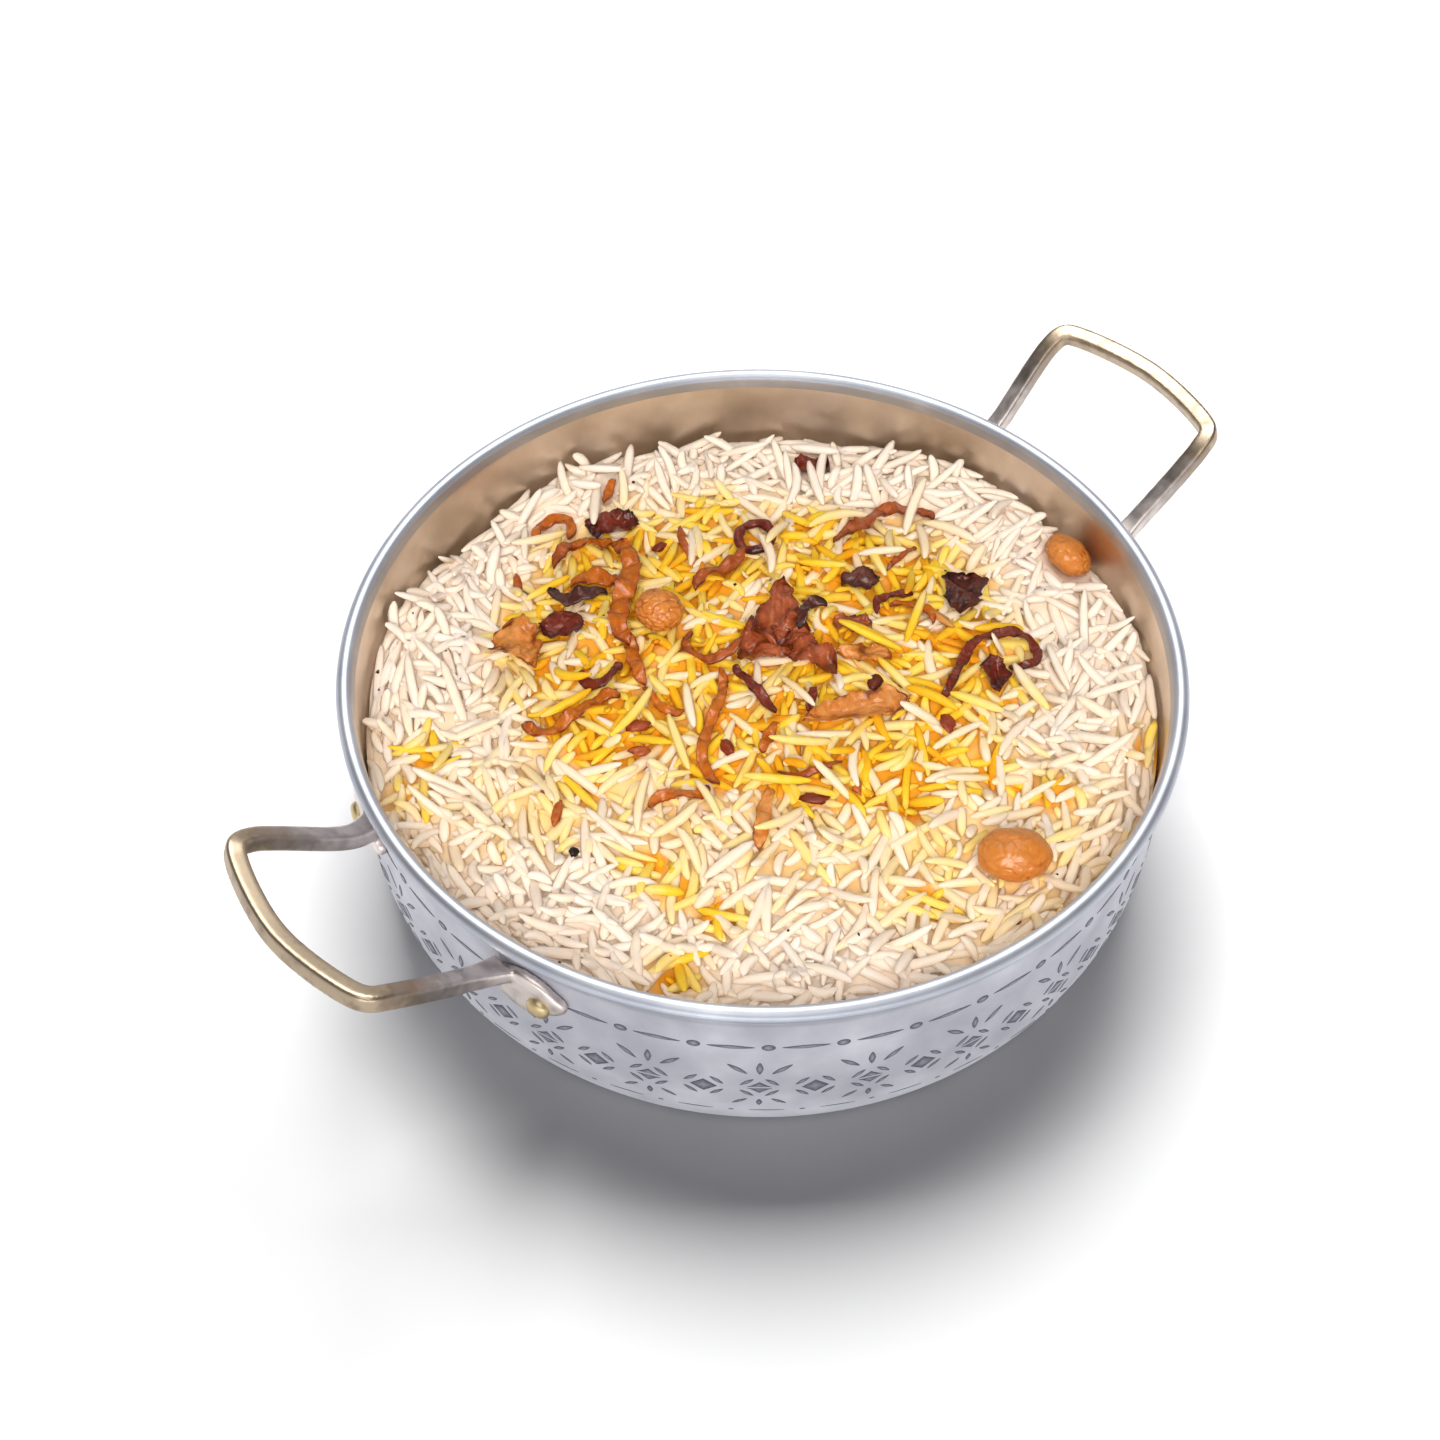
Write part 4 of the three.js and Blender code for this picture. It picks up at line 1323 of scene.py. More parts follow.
@dataclass(frozen=True)
class Raisin:
    """A raisin: its name, middle, half sizes, turn about Z and lean towards the pan's axis."""

    name: str
    at: tuple[float, float, float]
    half: tuple[float, float, float]
    turn: float
    lean: float = 0
    wrinkle: float = 1.3
    zones: ClassVar[Layers] = ((0.9, 1.6, 31),)
    furrows: ClassVar[Layers] = ((5.0, 0.75, 11),)
    creases: ClassVar[Layers] = ((4.0, 0.42, 21),)
    crease_stretch: ClassVar[tuple[float, float, float]] = (1, 1, 1.6)
    rows: ClassVar[int] = 64
    columns: ClassVar[int] = 96

    def shell(self, number: int) -> Shell:
        """A flattened ball drawn in along crossing folds: one less narrow wavy furrows, in some zones only.

        Args:
            number: seeds its folds.

        Returns:
            The raisin, with the depth of its folds.
        """
        ball = unit_ball(self.rows, self.columns)
        broad = np.sin(5 * ball[..., 0] + 2 * ball[..., 1]) * np.cos(6 * ball[..., 1] + 3 * ball[..., 2])
        zone = np.clip(0.5 * self.wrinkle + relief(ball, self.zones, number), 0, 1)
        furrow = np.clip(1 - np.abs(relief(ball, self.furrows, number)), 0, 1) ** 1.5 * zone
        crease = np.clip(1 - np.abs(relief(ball * self.crease_stretch, self.creases, number)), 0, 1) * zone
        scale = 1 - 0.03 * (1 + broad) - self.wrinkle * (0.045 * furrow + 0.02 * crease)
        # Depth of the folds, which the skin's colour darkens with: painted shade in the furrows and creases.
        fold = 0.45 * furrow + 0.3 * crease
        turn, lean = math.radians(self.turn), math.radians(-self.lean)
        about_z = [[math.cos(turn), -math.sin(turn), 0], [math.sin(turn), math.cos(turn), 0], [0, 0, 1]]
        about_y = [[math.cos(lean), 0, math.sin(lean)], [0, 1, 0], [-math.sin(lean), 0, math.cos(lean)]]
        place = (np.array(about_z) @ np.array(about_y)).T
        rings = (ball * scale[..., None] * self.half) @ place + np.array(self.at)
        poles = (np.array([[0, 0, 0.93], [0, 0, -0.93]]) * self.half) @ place + np.array(self.at)
        shell = loft(rings[None], poles[None])
        shell.tags["fold"] = np.append(fold.ravel(), [0.2, 0.2])
        return shell


@dataclass(frozen=True)
class OnionRing:
    """A small fried ring lying flat: its middle, radius and band."""

    at: tuple[float, float] = (29.8, 36.2)
    radius: float = 4.1
    band: float = 1.15
    squash: float = 0.85
    crumple: Layers = ((0.12, 1.8, 70),)
    steps: int = 72
    sides: int = 20

    def shell(self, mound: Mound) -> Shell:
        """A circle carried round a circle, its radius and band swelling and shrinking on the way.

        Args:
            mound: the heap that it lies on.

        Returns:
            The ring.
        """
        around = ring_angles(self.steps)[:, None]
        section = ring_angles(self.sides)[None]
        swell = 1 + 0.13 * np.sin(3 * around + 0.6) + 0.08 * np.sin(7 * around)
        ring = self.radius * (1 + 0.07 * np.sin(2 * around + 0.4))
        reach = ring + self.band * swell * np.cos(section)
        x = self.at[0] + reach * np.cos(around)
        y = self.at[1] + reach * np.sin(around)
        seat = mound.top(*np.array(self.at)) + 2 * GAP + self.band * self.squash
        z = seat + self.band * swell * self.squash * np.sin(section) + 0.25 * np.sin(3 * around + 1)
        z = z + relief(np.stack([x, y], -1), self.crumple, 0)
        shell = loft(np.stack([x, y, z], -1)[None], None)
        shell.tags["edge"] = (0.1 + 0.25 * np.cos(section) ** 2 + 0.1 * np.sin(5 * around)).ravel()
        return shell


@dataclass
class Toppings:
    """Everything that lies on the rice: onion strips, flakes and a ring, and raisins."""

    mound: Mound
    strips: tuple[Strip, ...] = (
        Strip((-7, 70), 98, 19.5, 2.8, Fry.GOLDEN, turn=-265),
        Strip((-10.5, 60.5), 28, 12, 2.8, Fry.AMBER, hook=-60),
        Strip((3, 56), -67, 36, 5.0, Fry.GOLDEN, turn=-285, hook=265, lift=0.8, beside=(
            Strip((-12, 52), -20, 12, 4.2, Fry.GOLDEN, turn=-40),
            Strip((-13, 30), -110, 15, 3.2, Fry.GOLDEN, turn=-60, hook=80),
            Strip((4, 57), 120, 10, 3.0, Fry.GOLDEN, turn=60))),
        Strip((-17, 52), -135, 15, 3.8, Fry.CHAR, turn=300, hook=-200, lift=2.4),
        Strip((-26.5, 28.5), -159, 15, 2.4, Fry.RED, turn=365, hook=-160),
        Strip((7.5, 31), 55, 18, 3.2, Fry.AMBER, turn=-289, hook=309),
        Strip((42.5, 23.5), -13, 30, 3.4, Fry.AMBER, turn=134, hook=-235),
        Strip((-1.5, 21), -191, 29, 2.3, Fry.AMBER, turn=461, hook=-235),
        Strip((-1.5, 7.5), -98, 16, 2.5, Fry.RED, hook=8),
        Strip((-4.5, 8.5), -110, 33, 2.6, Fry.GOLDEN, turn=-190, hook=225),
        Strip((33.5, -1), 70, 13, 2.2, Fry.RED, turn=-185, hook=60),
        Strip((37, -1.4), 6, 14, 2.0, Fry.GOLDEN, turn=-148),
        Strip((26, -28), 7, 47.5, 2.4, Fry.RED, turn=196, hook=-463),
        Strip((-45, 26), -119, 25.5, 3.0, Fry.GOLDEN, turn=450, hook=-400),
        Strip((-20, 16), -85, 12.5, 1.9, Fry.GOLDEN, turn=-99, hook=175),
        Strip((-39, -10.5), 72, 15.5, 2.4, Fry.GOLDEN, turn=-480, hook=470),
        Strip((-5, -10.5), -160, 9, 2.4, Fry.GOLDEN, turn=20),
        Strip((-13.5, -20.5), -55, 15, 1.6, Fry.AMBER, turn=60),
        Strip((-17.5, -23), -146, 15, 3.4, Fry.TAN, turn=12),
        Strip((7.5, -8.5), -140, 6.5, 2.2, Fry.RED),
        Strip((12.5, 71), 37, 9, 2.2, Fry.GOLDEN),
        Strip((46, 9), 4, 11, 1.4, Fry.AMBER, turn=8),
        Strip((13.5, 3.3), 19, 12, 2.4, Fry.CHAR, turn=138, hook=-250, lift=5.2),
    )
    flakes: tuple[Flake, ...] = (
        Flake((8, 62), -44, 12.5, (9, 7.5), 2.4, 1.2, Fry.RED),
        Flake((-21.5, 43), -40, 11, (7, 8), 1.8, 0.8, Fry.RED),
        Flake((-32, 44.5), -95, 15, (12, 6), 2.6, 1.6, Fry.TAN),
        Flake((15.5, 11.5), 46, 22, (13, 3.6), 1.8, 2.4, Fry.BROWN, lift=1.2, lobes=(
            Flake((6.8, 6.2), -24, 13, (7, 10), 2.6, 1.6, Fry.BROWN),
            Flake((12.4, -1.8), -72, 14, (10, 5), 2.8, 1.8, Fry.BROWN, lift=0.4),
            Flake((12.5, 4.5), 12, 10, (6, 7), 2.4, 2.0, Fry.BROWN, lift=1.6))),
        Flake((27, 0.4), -43, 9, (4.5, 6), 1.0, 0.6, Fry.BROWN),
        Flake((37.6, 9), -30, 9, (5.5, 7), 1.5, 0.8, Fry.DARK),
        Flake((53, -8.5), 40, 12, (8, 10), 2.8, 1.4, Fry.DARK),
        Flake((41.5, -30), 60, 9, (4.5, 6), 1.6, 0.8, Fry.RED),
        Flake((22.5, -8), -43, 12, (4.2, 5.2), 1.2, 0.6, Fry.TAN),
        Flake((10.4, -19.2), -26, 24, (4.4, 8.6), 1.4, 2.0, Fry.TAN),
        Flake((58.4, 48.4), -40, 9, (6, 7), 2.0, 0.8, Fry.RED),
    )
    raisins: tuple[Raisin, ...] = (
        Raisin("front", (8.6, -67.8, 43.4), (7.9, 6.2, 4.7), -42, wrinkle=0.9),
        Raisin("middle", (-4.6, 29.2, 44.8), (5.3, 5.8, 4.2), 12, wrinkle=2.6),
        Raisin("back", (79.6, -15.6, 40.6), (4.0, 6.3, 6.0), -11, 48),
    )
    ring: OnionRing = OnionRing()
    points: list[np.ndarray] = field(default_factory=list)

    def lay(self, name: str, shell: Shell, material: bpy.types.Material, slot: str, node: str) -> None:
        """Puts one topping down and keeps its corners, so that the rice can fit under it."""
        self.points.append(shell.points)
        put_piece(name, shell, [material], (node,))

    def build(self, raisin_skin: bpy.types.Material, onions: dict[Fry, bpy.types.Material]) -> None:
        """Lays every topping in its place.

        Args:
            raisin_skin: finish of the raisins.
            onions: finish of each colour of onion.
        """
        for number, raisin in enumerate(self.raisins):
            node = f"raisin_{raisin.name}"
            self.lay(f"{node}_skin", raisin.shell(number), raisin_skin, "raisin_skin", node)
        ring = self.ring.shell(self.mound)
        self.lay("onion_ring_fried", ring, onions[Fry.RED], "onion_brown", "onion_ring")
        for kind, items, first in (("strip", self.strips, 1), ("flake", self.flakes, 0)):
            for number, item in enumerate(items):
                node = f"onion_{kind}_{number + 1:02d}"
                shell = item.shell(self.mound, number + first)
                self.lay(f"{node}_fried", shell, onions[item.fry], item.fry.slot, node)


class Lay(Enum):
    """Ways that a grain comes to rest, in turn: the number of the turn and how many grains are tried."""

    FLAT = (0, 130000)
    WEDGED = (1, 100000)
    UPRIGHT = (2, 30000)
    ACROSS = (3, 30000)


@dataclass
class RiceHeap:
    """Loose grains settled one by one on a core, up to the mound's top and round the toppings."""

    mound: Mound
    seed: int = 7
    cell: float = 0.6
    reach: float = 88.0
    depth: float = 7.0
    core_depth: float = 3.2
    core_gap: float = 0.6
    core_lumps: Layers = ((0.35, 3.2, 9),)
    core_rings: int = 72
    core_sides: int = 240
    core_levels: tuple[float, ...] = (24.0, 15.0, 8.0, 3.4)
    core_base: float = 2.0
    core_peep: float = 0.5
    topping_gap: float = 0.1
    crown: float = 1.2
    hills_high: Layers = ((1.5, 13.0, 3),)
    bank_start: float = 60.0
    bank_width: float = 18.0
    edge_lift: tuple[tuple[float, float], ...] = (
        (-60, 2), (-20, 5), (12, 7), (20, 6.5), (30, 3.5), (52, 4), (60, 3), (68, 4), (80, 7), (92, 3.5),
        (100, 2), (116, 5), (126, 7), (140, 4), (180, 2),
    )
    sink: float = 0.95
    wedge: float = 0.1
    steepest: float = 0.8
    tip: float = 0.2
    length: tuple[float, float] = (13.8, 1.6)
    length_range: tuple[float, float] = (8.5, 17.0)
    broken: float = 0.12
    broken_length: tuple[float, float] = (5.0, 9.0)
    width: tuple[float, float] = (2.38, 0.2)
    flatness: float = 0.88
    fullness: float = 2.8
    stations: tuple[float, ...] = (-0.94, -0.68, -0.24, 0.24, 0.68, 0.94)
    sides: int = 6
    bend: float = 0.7
    arch: tuple[float, float] = (0.1, 0.3)
    fade: float = 0.3
    samples: int = 15
    lines: int = 5
    wall_zone: tuple[float, float] = (0.72, 0.2)
    beside_from: float = 0.8
    beside_wall: float = 0.7
    beside_swing: float = 0.25
    out_swing: tuple[float, float] = (0.8, 1.2)
    upright: float = 0.06
    upright_at_wall: float = 0.14
    upright_pitch: tuple[float, float] = (0.35, 0.8)
    upright_root: float = 0.25
    upright_lift: float = 2.8
    upright_lift_at_wall: float = 1.2
    crossing: float = 0.1
    crossing_share: float = 0.55
    crossing_lift: float = 2.8
    crossing_sink: float = 1.2
    bare_height: float = 0.2
    bare_share: float = 0.4
    peep: float = 0.6
    pour_middle: tuple[float, float] = (4, 5)
    pour_edge: tuple[tuple[float, float], ...] = (
        (-165, 37), (-135, 36), (-115, 42), (-104, 50), (-90, 59), (-70, 58), (-45, 62), (-20, 63), (10, 63),
        (30, 58), (45, 57), (60, 62), (80, 65), (100, 66), (120, 63), (135, 60), (150, 56), (165, 54),
        (178, 48),
    )
    pool_share: float = 0.82
    pool_patches: Layers = ((0.3, 14.0, 5),)
    pool_rim: tuple[float, float] = (1.05, 0.22)
    front: tuple[float, float] = (0.67, 0.74)
    halo_share: float = 0.34
    halo_rim: tuple[float, float] = (1.8, 0.5)
    halo_front: tuple[float, float] = (1.5, 0.1)
    least_soak: float = 0.4
    lucky_soak: float = 0.5
    gap_shade_soak: float = 0.3
    gap_shade_band: tuple[float, float] = (1.0, 2.5)
    stray_soak: float = 0.12
    dry_draw: tuple[float, float] = (0.55, 0.2)
    dry_share: float = 0.35
    spot_share: float = 0.95
    spot_reach: float = 5.5
    spots: tuple[tuple[float, float], ...] = (
        (-46, -19), (-46, -27), (-43, -37), (-10, -62), (-61, -43), (-65, 35), (-73, 28), (24, -45),
        (27, -52), (30, -60), (54, -65), (-44, 5),
    )

    def cell_places(self) -> tuple[np.ndarray, np.ndarray]:
        """Middle of every cell of the height map."""
        line = np.arange(-self.reach, self.reach, self.cell) + self.cell / 2
        return np.meshgrid(line, line, indexing="ij")

    def cell_of(self, x: np.ndarray, y: np.ndarray) -> np.ndarray:
        """Number of the cell that holds each place.

        Args:
            x: places along X.
            y: places along Y.

        Returns:
            The cells' numbers, row by row.
        """
        count = len(np.arange(-self.reach, self.reach, self.cell))
        column = np.clip(((np.stack([x, y]) + self.reach) / self.cell).astype(int), 0, count - 1)
        return column[0] * count + column[1]

    def hills(self) -> np.ndarray:
        """Height that lying grains fill up to in each cell: low hills on the mound, and banks at the wall.

        Returns:
            One height for each cell.
        """
        x, y = self.cell_places()
        hills = relief(np.stack([x, y], -1), self.hills_high, 0)
        turn, lift = np.array(self.edge_lift).T
        bank = np.interp(np.degrees(np.arctan2(y, x)), turn, lift, period=360)
        near = np.clip((np.hypot(x, y) - self.bank_start) / self.bank_width, 0, 1)
        return (self.mound.top(x, y) + self.crown + hills + bank * near ** 2 * (3 - 2 * near)).ravel()

    def cover(self, toppings: list[np.ndarray]) -> tuple[np.ndarray, np.ndarray]:
        """Lowest and highest point of the toppings over each cell, as wide as one cell more all round.

        Args:
            toppings: corners of what lies on the rice.

        Returns:
            Underside, infinite where nothing lies, and upper side, minus infinite there.
        """
        x, _ = self.cell_places()
        sides = []
        for sign in (1, -1):
            low = np.full(x.size, np.inf)
            for points in toppings:
                cells = self.cell_of(points[:, 0], points[:, 1])
                np.minimum.at(low, cells, sign * points[:, 2] - self.topping_gap)
            low = low.reshape(x.shape)
            for axis in (0, 1):
                low = np.minimum(low, np.minimum(np.roll(low, 1, axis), np.roll(low, -1, axis)))
            sides.append(sign * low.ravel())
        return sides[0], sides[1]

    def draw(self) -> dict[str, np.ndarray]:
        """Draws a place, heading and size at random for every grain that is tried.

        Returns:
            One value of each kind for each grain.
        """
        rng = np.random.default_rng(self.seed)
        turn = np.repeat([lay.value[0] for lay in Lay], [lay.value[1] for lay in Lay])
        total = len(turn)
        room = self.room()
        radius, angle = room * np.sqrt(rng.random(total)), 2 * np.pi * rng.random(total)
        edge = np.clip((radius / room - self.wall_zone[0]) / self.wall_zone[1], 0, 1)
        heading = 2 * np.pi * rng.random(total)
        beside = (edge > self.beside_from) & (rng.random(total) < self.beside_wall)
        heading = np.where(beside, angle + np.pi / 2 + rng.normal(0, self.beside_swing, total), heading)
        out = angle + rng.normal(0, self.out_swing[0] + self.out_swing[1] * (1 - edge), total)
        heading = np.where(turn == Lay.UPRIGHT.value[0], out, heading)
        length = np.clip(rng.normal(*self.length, total), *self.length_range)
        length = np.where(rng.random(total) < self.broken, rng.uniform(*self.broken_length, total), length)
        return {
            "x": radius * np.cos(angle),
            "y": radius * np.sin(angle),
            "heading": heading,
            "length": length,
            "width": rng.normal(*self.width, total),
            "pitch": rng.uniform(*self.upright_pitch, total),
            "tip": rng.normal(0, self.tip, total),
            "edge": edge,
            "luck": rng.random(total),
            "turn": turn,
        }

    def room(self) -> float:
        """Radius that the rice fills at its edge."""
        return float(self.mound.wall.room(self.mound.edge_height))

    def settle(self, hills: np.ndarray, cover: np.ndarray, roof: np.ndarray) -> dict[str, np.ndarray]:
        """Drops grains at random: each lies along the slope under it and is kept if it stays low enough.

        First grains lie flat, then others wedge deeper between them, then some stand with one end in the
        heap, and last some lie across the edges of the toppings.

        Args:
            hills: height that rice fills up to in each cell.
            cover: underside of the toppings over each cell.
            roof: upper side of the toppings over each cell.

        Returns:
            Place, heading, slope, length and width of every grain that still shows.
        """
        grains = self.draw()
        s = np.linspace(-1, 1, self.samples)
        swell = self.swell(s)
        half, reach = self.flatness * grains["width"] / 2, grains["length"] / 2
        pitch = np.where(grains["turn"] == Lay.UPRIGHT.value[0], grains["pitch"], 0)
        along = (s * (np.sqrt(1 - pitch ** 2) * reach)[:, None])[..., None]
        lines = np.linspace(-0.5, 0.5, self.lines)
        across = lines * swell[:, None] * grains["width"][:, None, None]
        cos, sin = np.cos(grains["heading"])[:, None, None], np.sin(grains["heading"])[:, None, None]
        px = grains["x"][:, None, None] + cos * along - sin * across
        py = grains["y"][:, None, None] + sin * along + cos * across
        cells = self.cell_of(px, py)
        inside = np.flatnonzero(np.hypot(px, py).max((1, 2)) < self.room() - GAP)
        height = hills - self.depth
        centre, slope, kept = np.zeros(len(px)), np.zeros(len(px)), []
        for k in inside:
            lay = grains["turn"][k]
            ground = height[cells[k]].max(1)
            limit = hills[cells[k]].min(1)
            below = cover[cells[k]].min(1)
            if lay == Lay.ACROSS.value[0]:
                upper_side = roof[cells[k]].max(1)
                crossed = upper_side > ground
                held = 0 < crossed.mean() < self.crossing_share and not crossed[[0, -1]].all()
                if grains["luck"][k] > self.crossing or not held:
                    continue
                ground = np.maximum(ground, upper_side)
                limit = np.maximum(limit, upper_side) + self.crossing_lift
                below = np.inf
            if lay == Lay.UPRIGHT.value[0]:
                if grains["luck"][k] > self.upright + self.upright_at_wall * grains["edge"][k]:
                    continue
                slope[k] = grains["pitch"][k] * reach[k]
                centre[k] = ground[len(s) // 2] + self.upright_root * slope[k]
                lift = self.upright_lift + self.upright_lift_at_wall * grains["edge"][k]
                limit = limit + lift * (0.5 + 0.5 * s)
            else:
                steepest = self.steepest * reach[k]
                slope[k] = np.clip((s @ ground) / (s @ s), -steepest, steepest) + grains["tip"][k] * reach[k]
                sink = self.crossing_sink if lay == Lay.ACROSS.value[0] else self.sink
                lowest = (ground - slope[k] * s + half[k] * swell).max() - sink
                centre[k] = ground.mean() + self.wedge * half[k] if lay == Lay.WEDGED.value[0] else lowest
            upper = centre[k] + slope[k] * s + half[k] * swell
            bare = (upper > ground + self.bare_height).mean()
            if (upper > np.minimum(limit, below)).any() or bare < self.bare_share:
                continue
            np.maximum.at(height, cells[k].ravel(), np.repeat(upper, self.lines))
            kept.append(k)
        kept = np.array(kept)
        upper = centre[kept, None] + slope[kept, None] * s + half[kept, None] * swell
        core = np.minimum(hills - self.core_depth, cover - self.core_gap)
        lowest = np.maximum(height - self.peep, core - self.core_peep)
        shows = (upper[..., None] > lowest[cells[kept]]).any((1, 2))
        for lay in Lay:
            LOG.info("%d grains %s", (grains["turn"][kept[shows]] == lay.value[0]).sum(), lay.name.lower())
        grains.update(z=centre, slope=slope)
        return {name: values[kept[shows]] for name, values in grains.items()}

    def swell(self, s: np.ndarray) -> np.ndarray:
        """Share of its full thickness that a grain has at a place from -1 to 1 along it."""
        return np.sqrt(1 - np.abs(s) ** self.fullness)

    def soaking(self, place: np.ndarray) -> np.ndarray:
        """Share of the saffron water that each place took: one patchy pool with a halo, and some spots.

        Args:
            place: plan places.

        Returns:
            Share from 0 to 1: even in the pool up to near its edge, and a bell curve about each spot.
        """
        away = np.linalg.norm(place[:, None] - np.array(self.spots)[None], axis=-1) / self.spot_reach
        spot = self.spot_share * np.exp(-away ** 2).max(1)
        x, y = (place - np.array(self.pour_middle)).T
        turn, reach = np.array(self.pour_edge).T
        reach = np.interp(np.degrees(np.arctan2(y, x)), turn, reach, period=360)
        away = np.hypot(x, y) / reach
        pool = np.clip((self.pool_rim[0] - away) / self.pool_rim[1], 0, 1)
        pool = pool * (self.pool_share + relief(place, self.pool_patches, 0))
        front = -(x * self.front[0] + y * self.front[1]) / reach
        halo = self.halo_share * np.clip((self.halo_rim[0] - away) / self.halo_rim[1], 0, 1)
        halo = halo * np.clip(self.halo_front[0] * front - self.halo_front[1], 0, 1)
        return np.clip(np.maximum(np.maximum(spot, pool), halo), 0, 1)

    def grain_shell(self, grains: dict[str, np.ndarray], soak: np.ndarray, seed: int) -> Shell:
        """Grains as slender bent spindles: a few rings of a few points that swell from end to middle.

        Args:
            grains: places and sizes, as settle gives them.
            soak: how far each grain is soaked.
            seed: start of the random draw of bends and of soaked ends.

        Returns:
            All the grains as one shell, with how far each corner is soaked.
        """
        rng = np.random.default_rng(seed)
        count = len(soak)
        s = np.array(self.stations)
        swell = self.swell(s)
        angle = ring_angles(self.sides)
        places = np.append(np.repeat(s, self.sides), [-1, 1])
        bend, arch = rng.normal(0, self.bend, count)[:, None], rng.normal(*self.arch, count)[:, None]
        half = grains["width"][:, None] / 2
        rise = grains["slope"][:, None] * places
        run = np.sqrt(np.clip((grains["length"][:, None] / 2) ** 2 - grains["slope"][:, None] ** 2, 4, None))
        along = run * places
        wide, high = (np.append(np.outer(swell, part), [0, 0]) for part in (np.cos(angle), np.sin(angle)))
        across = half * wide + bend * (places ** 2 - 0.35)
        up = half * self.flatness * high - arch * (places ** 2 - 0.3)
        cos, sin = np.cos(grains["heading"])[:, None], np.sin(grains["heading"])[:, None]
        points = np.stack([grains["x"][:, None] + cos * along - sin * across,
                           grains["y"][:, None] + sin * along + cos * across,
                           grains["z"][:, None] + rise + up], -1)
        shell = loft(points[:, :-2].reshape(count, len(s), self.sides, 3), points[:, -2:])
        fade = rng.uniform(-self.fade, self.fade, count)[:, None] * np.sqrt(soak)[:, None]
        shell.tags["soak"] = np.clip(soak[:, None] + fade * places, 0, 1).ravel()
        return shell

    def core(self, hills: np.ndarray, cover: np.ndarray) -> Shell:
        """The heap under the loose grains: rings a little under the hills, then down the wall to the base.

        Args:
            hills: height that rice fills up to in each cell.
            cover: underside of the toppings over each cell.

        Returns:
            The core as one closed shell.
        """
        wall = self.mound.wall
        angle = ring_angles(self.core_sides)[None]
        spread = np.linspace(0.01, 1, self.core_rings)[:, None] * (self.room() - self.core_gap)
        upper = polar(spread, angle, 0 * spread)
        cells = self.cell_of(upper[..., 0], upper[..., 1])
        lump = relief(upper[..., :2], self.core_lumps, 0)
        upper[..., 2] = np.minimum(hills[cells] - self.core_depth, cover[cells] - self.core_gap) + lump
        low = np.array(self.core_levels)[:, None]
        lower = polar(wall.room(low) - self.core_gap, angle, low)
        rings = np.concatenate([upper, lower])
        ends = np.array([[0, 0, upper[0, :, 2].mean()], [0, 0, self.core_base]])
        shell = loft(rings[None], ends[None])
        shell.tags["soak"] = self.soaking(shell.points[:, :2])
        return shell

    def soaked(self, grains: dict[str, np.ndarray], hills: np.ndarray) -> np.ndarray:
        """How far each grain is soaked: by its place and its luck, with some left dry, and more for grains
        lower in the heap, which is painted shade that warms the gaps.

        Args:
            grains: places and sizes, as settle gives them.
            hills: height that rice fills up to in each cell.

        Returns:
            Share from 0 to 1 for each grain.
        """
        rng = np.random.default_rng(self.seed + 1)
        place = np.stack([grains["x"], grains["y"]], -1)
        share, draw, luck = self.soaking(place), rng.random(len(place)), rng.random(len(place))
        # Painted shade: grains that lie lower in the heap are given more soak, so the gaps between the top
        # grains show warmer and darker.
        down = hills[self.cell_of(*place.T)] - grains["z"]
        deep = np.clip((down - self.gap_shade_band[0]) / self.gap_shade_band[1], 0, 1)
        taken = self.least_soak + self.lucky_soak * luck + self.gap_shade_soak * deep
        soak = np.clip(share * taken + self.stray_soak * draw, 0, 1)
        return np.where(draw > self.dry_draw[0] + self.dry_draw[1] * share, self.dry_share * soak, soak)

    def build(self, toppings: list[np.ndarray], cooked: bpy.types.Material,
              packed: bpy.types.Material) -> np.ndarray:
        """Puts the core and the grains down, one piece for each kind of grain.

        Args:
            toppings: corners of what lies on the rice.
            cooked: material of the grains.
            packed: material of the core.

        Returns:
            Place of every grain.
        """
        hills = self.hills()
        cover, roof = self.cover(toppings)
        put_piece("rice_core", self.core(hills, cover), [packed], ("rice",))
        grains = self.settle(hills, cover, roof)
        soak = self.soaked(grains, hills)
        for number, tint in enumerate(Tint):
            chosen = (soak >= tint.value[0]) & (soak < tint.value[1])
            some = {name: values[chosen] for name, values in grains.items()}
            shell = self.grain_shell(some, soak[chosen], self.seed + 10 + number)
            put_piece(f"rice_{tint.name.lower()}", shell, [cooked], ("rice",))
        return np.stack([grains["x"], grains["y"], grains["z"]], -1)


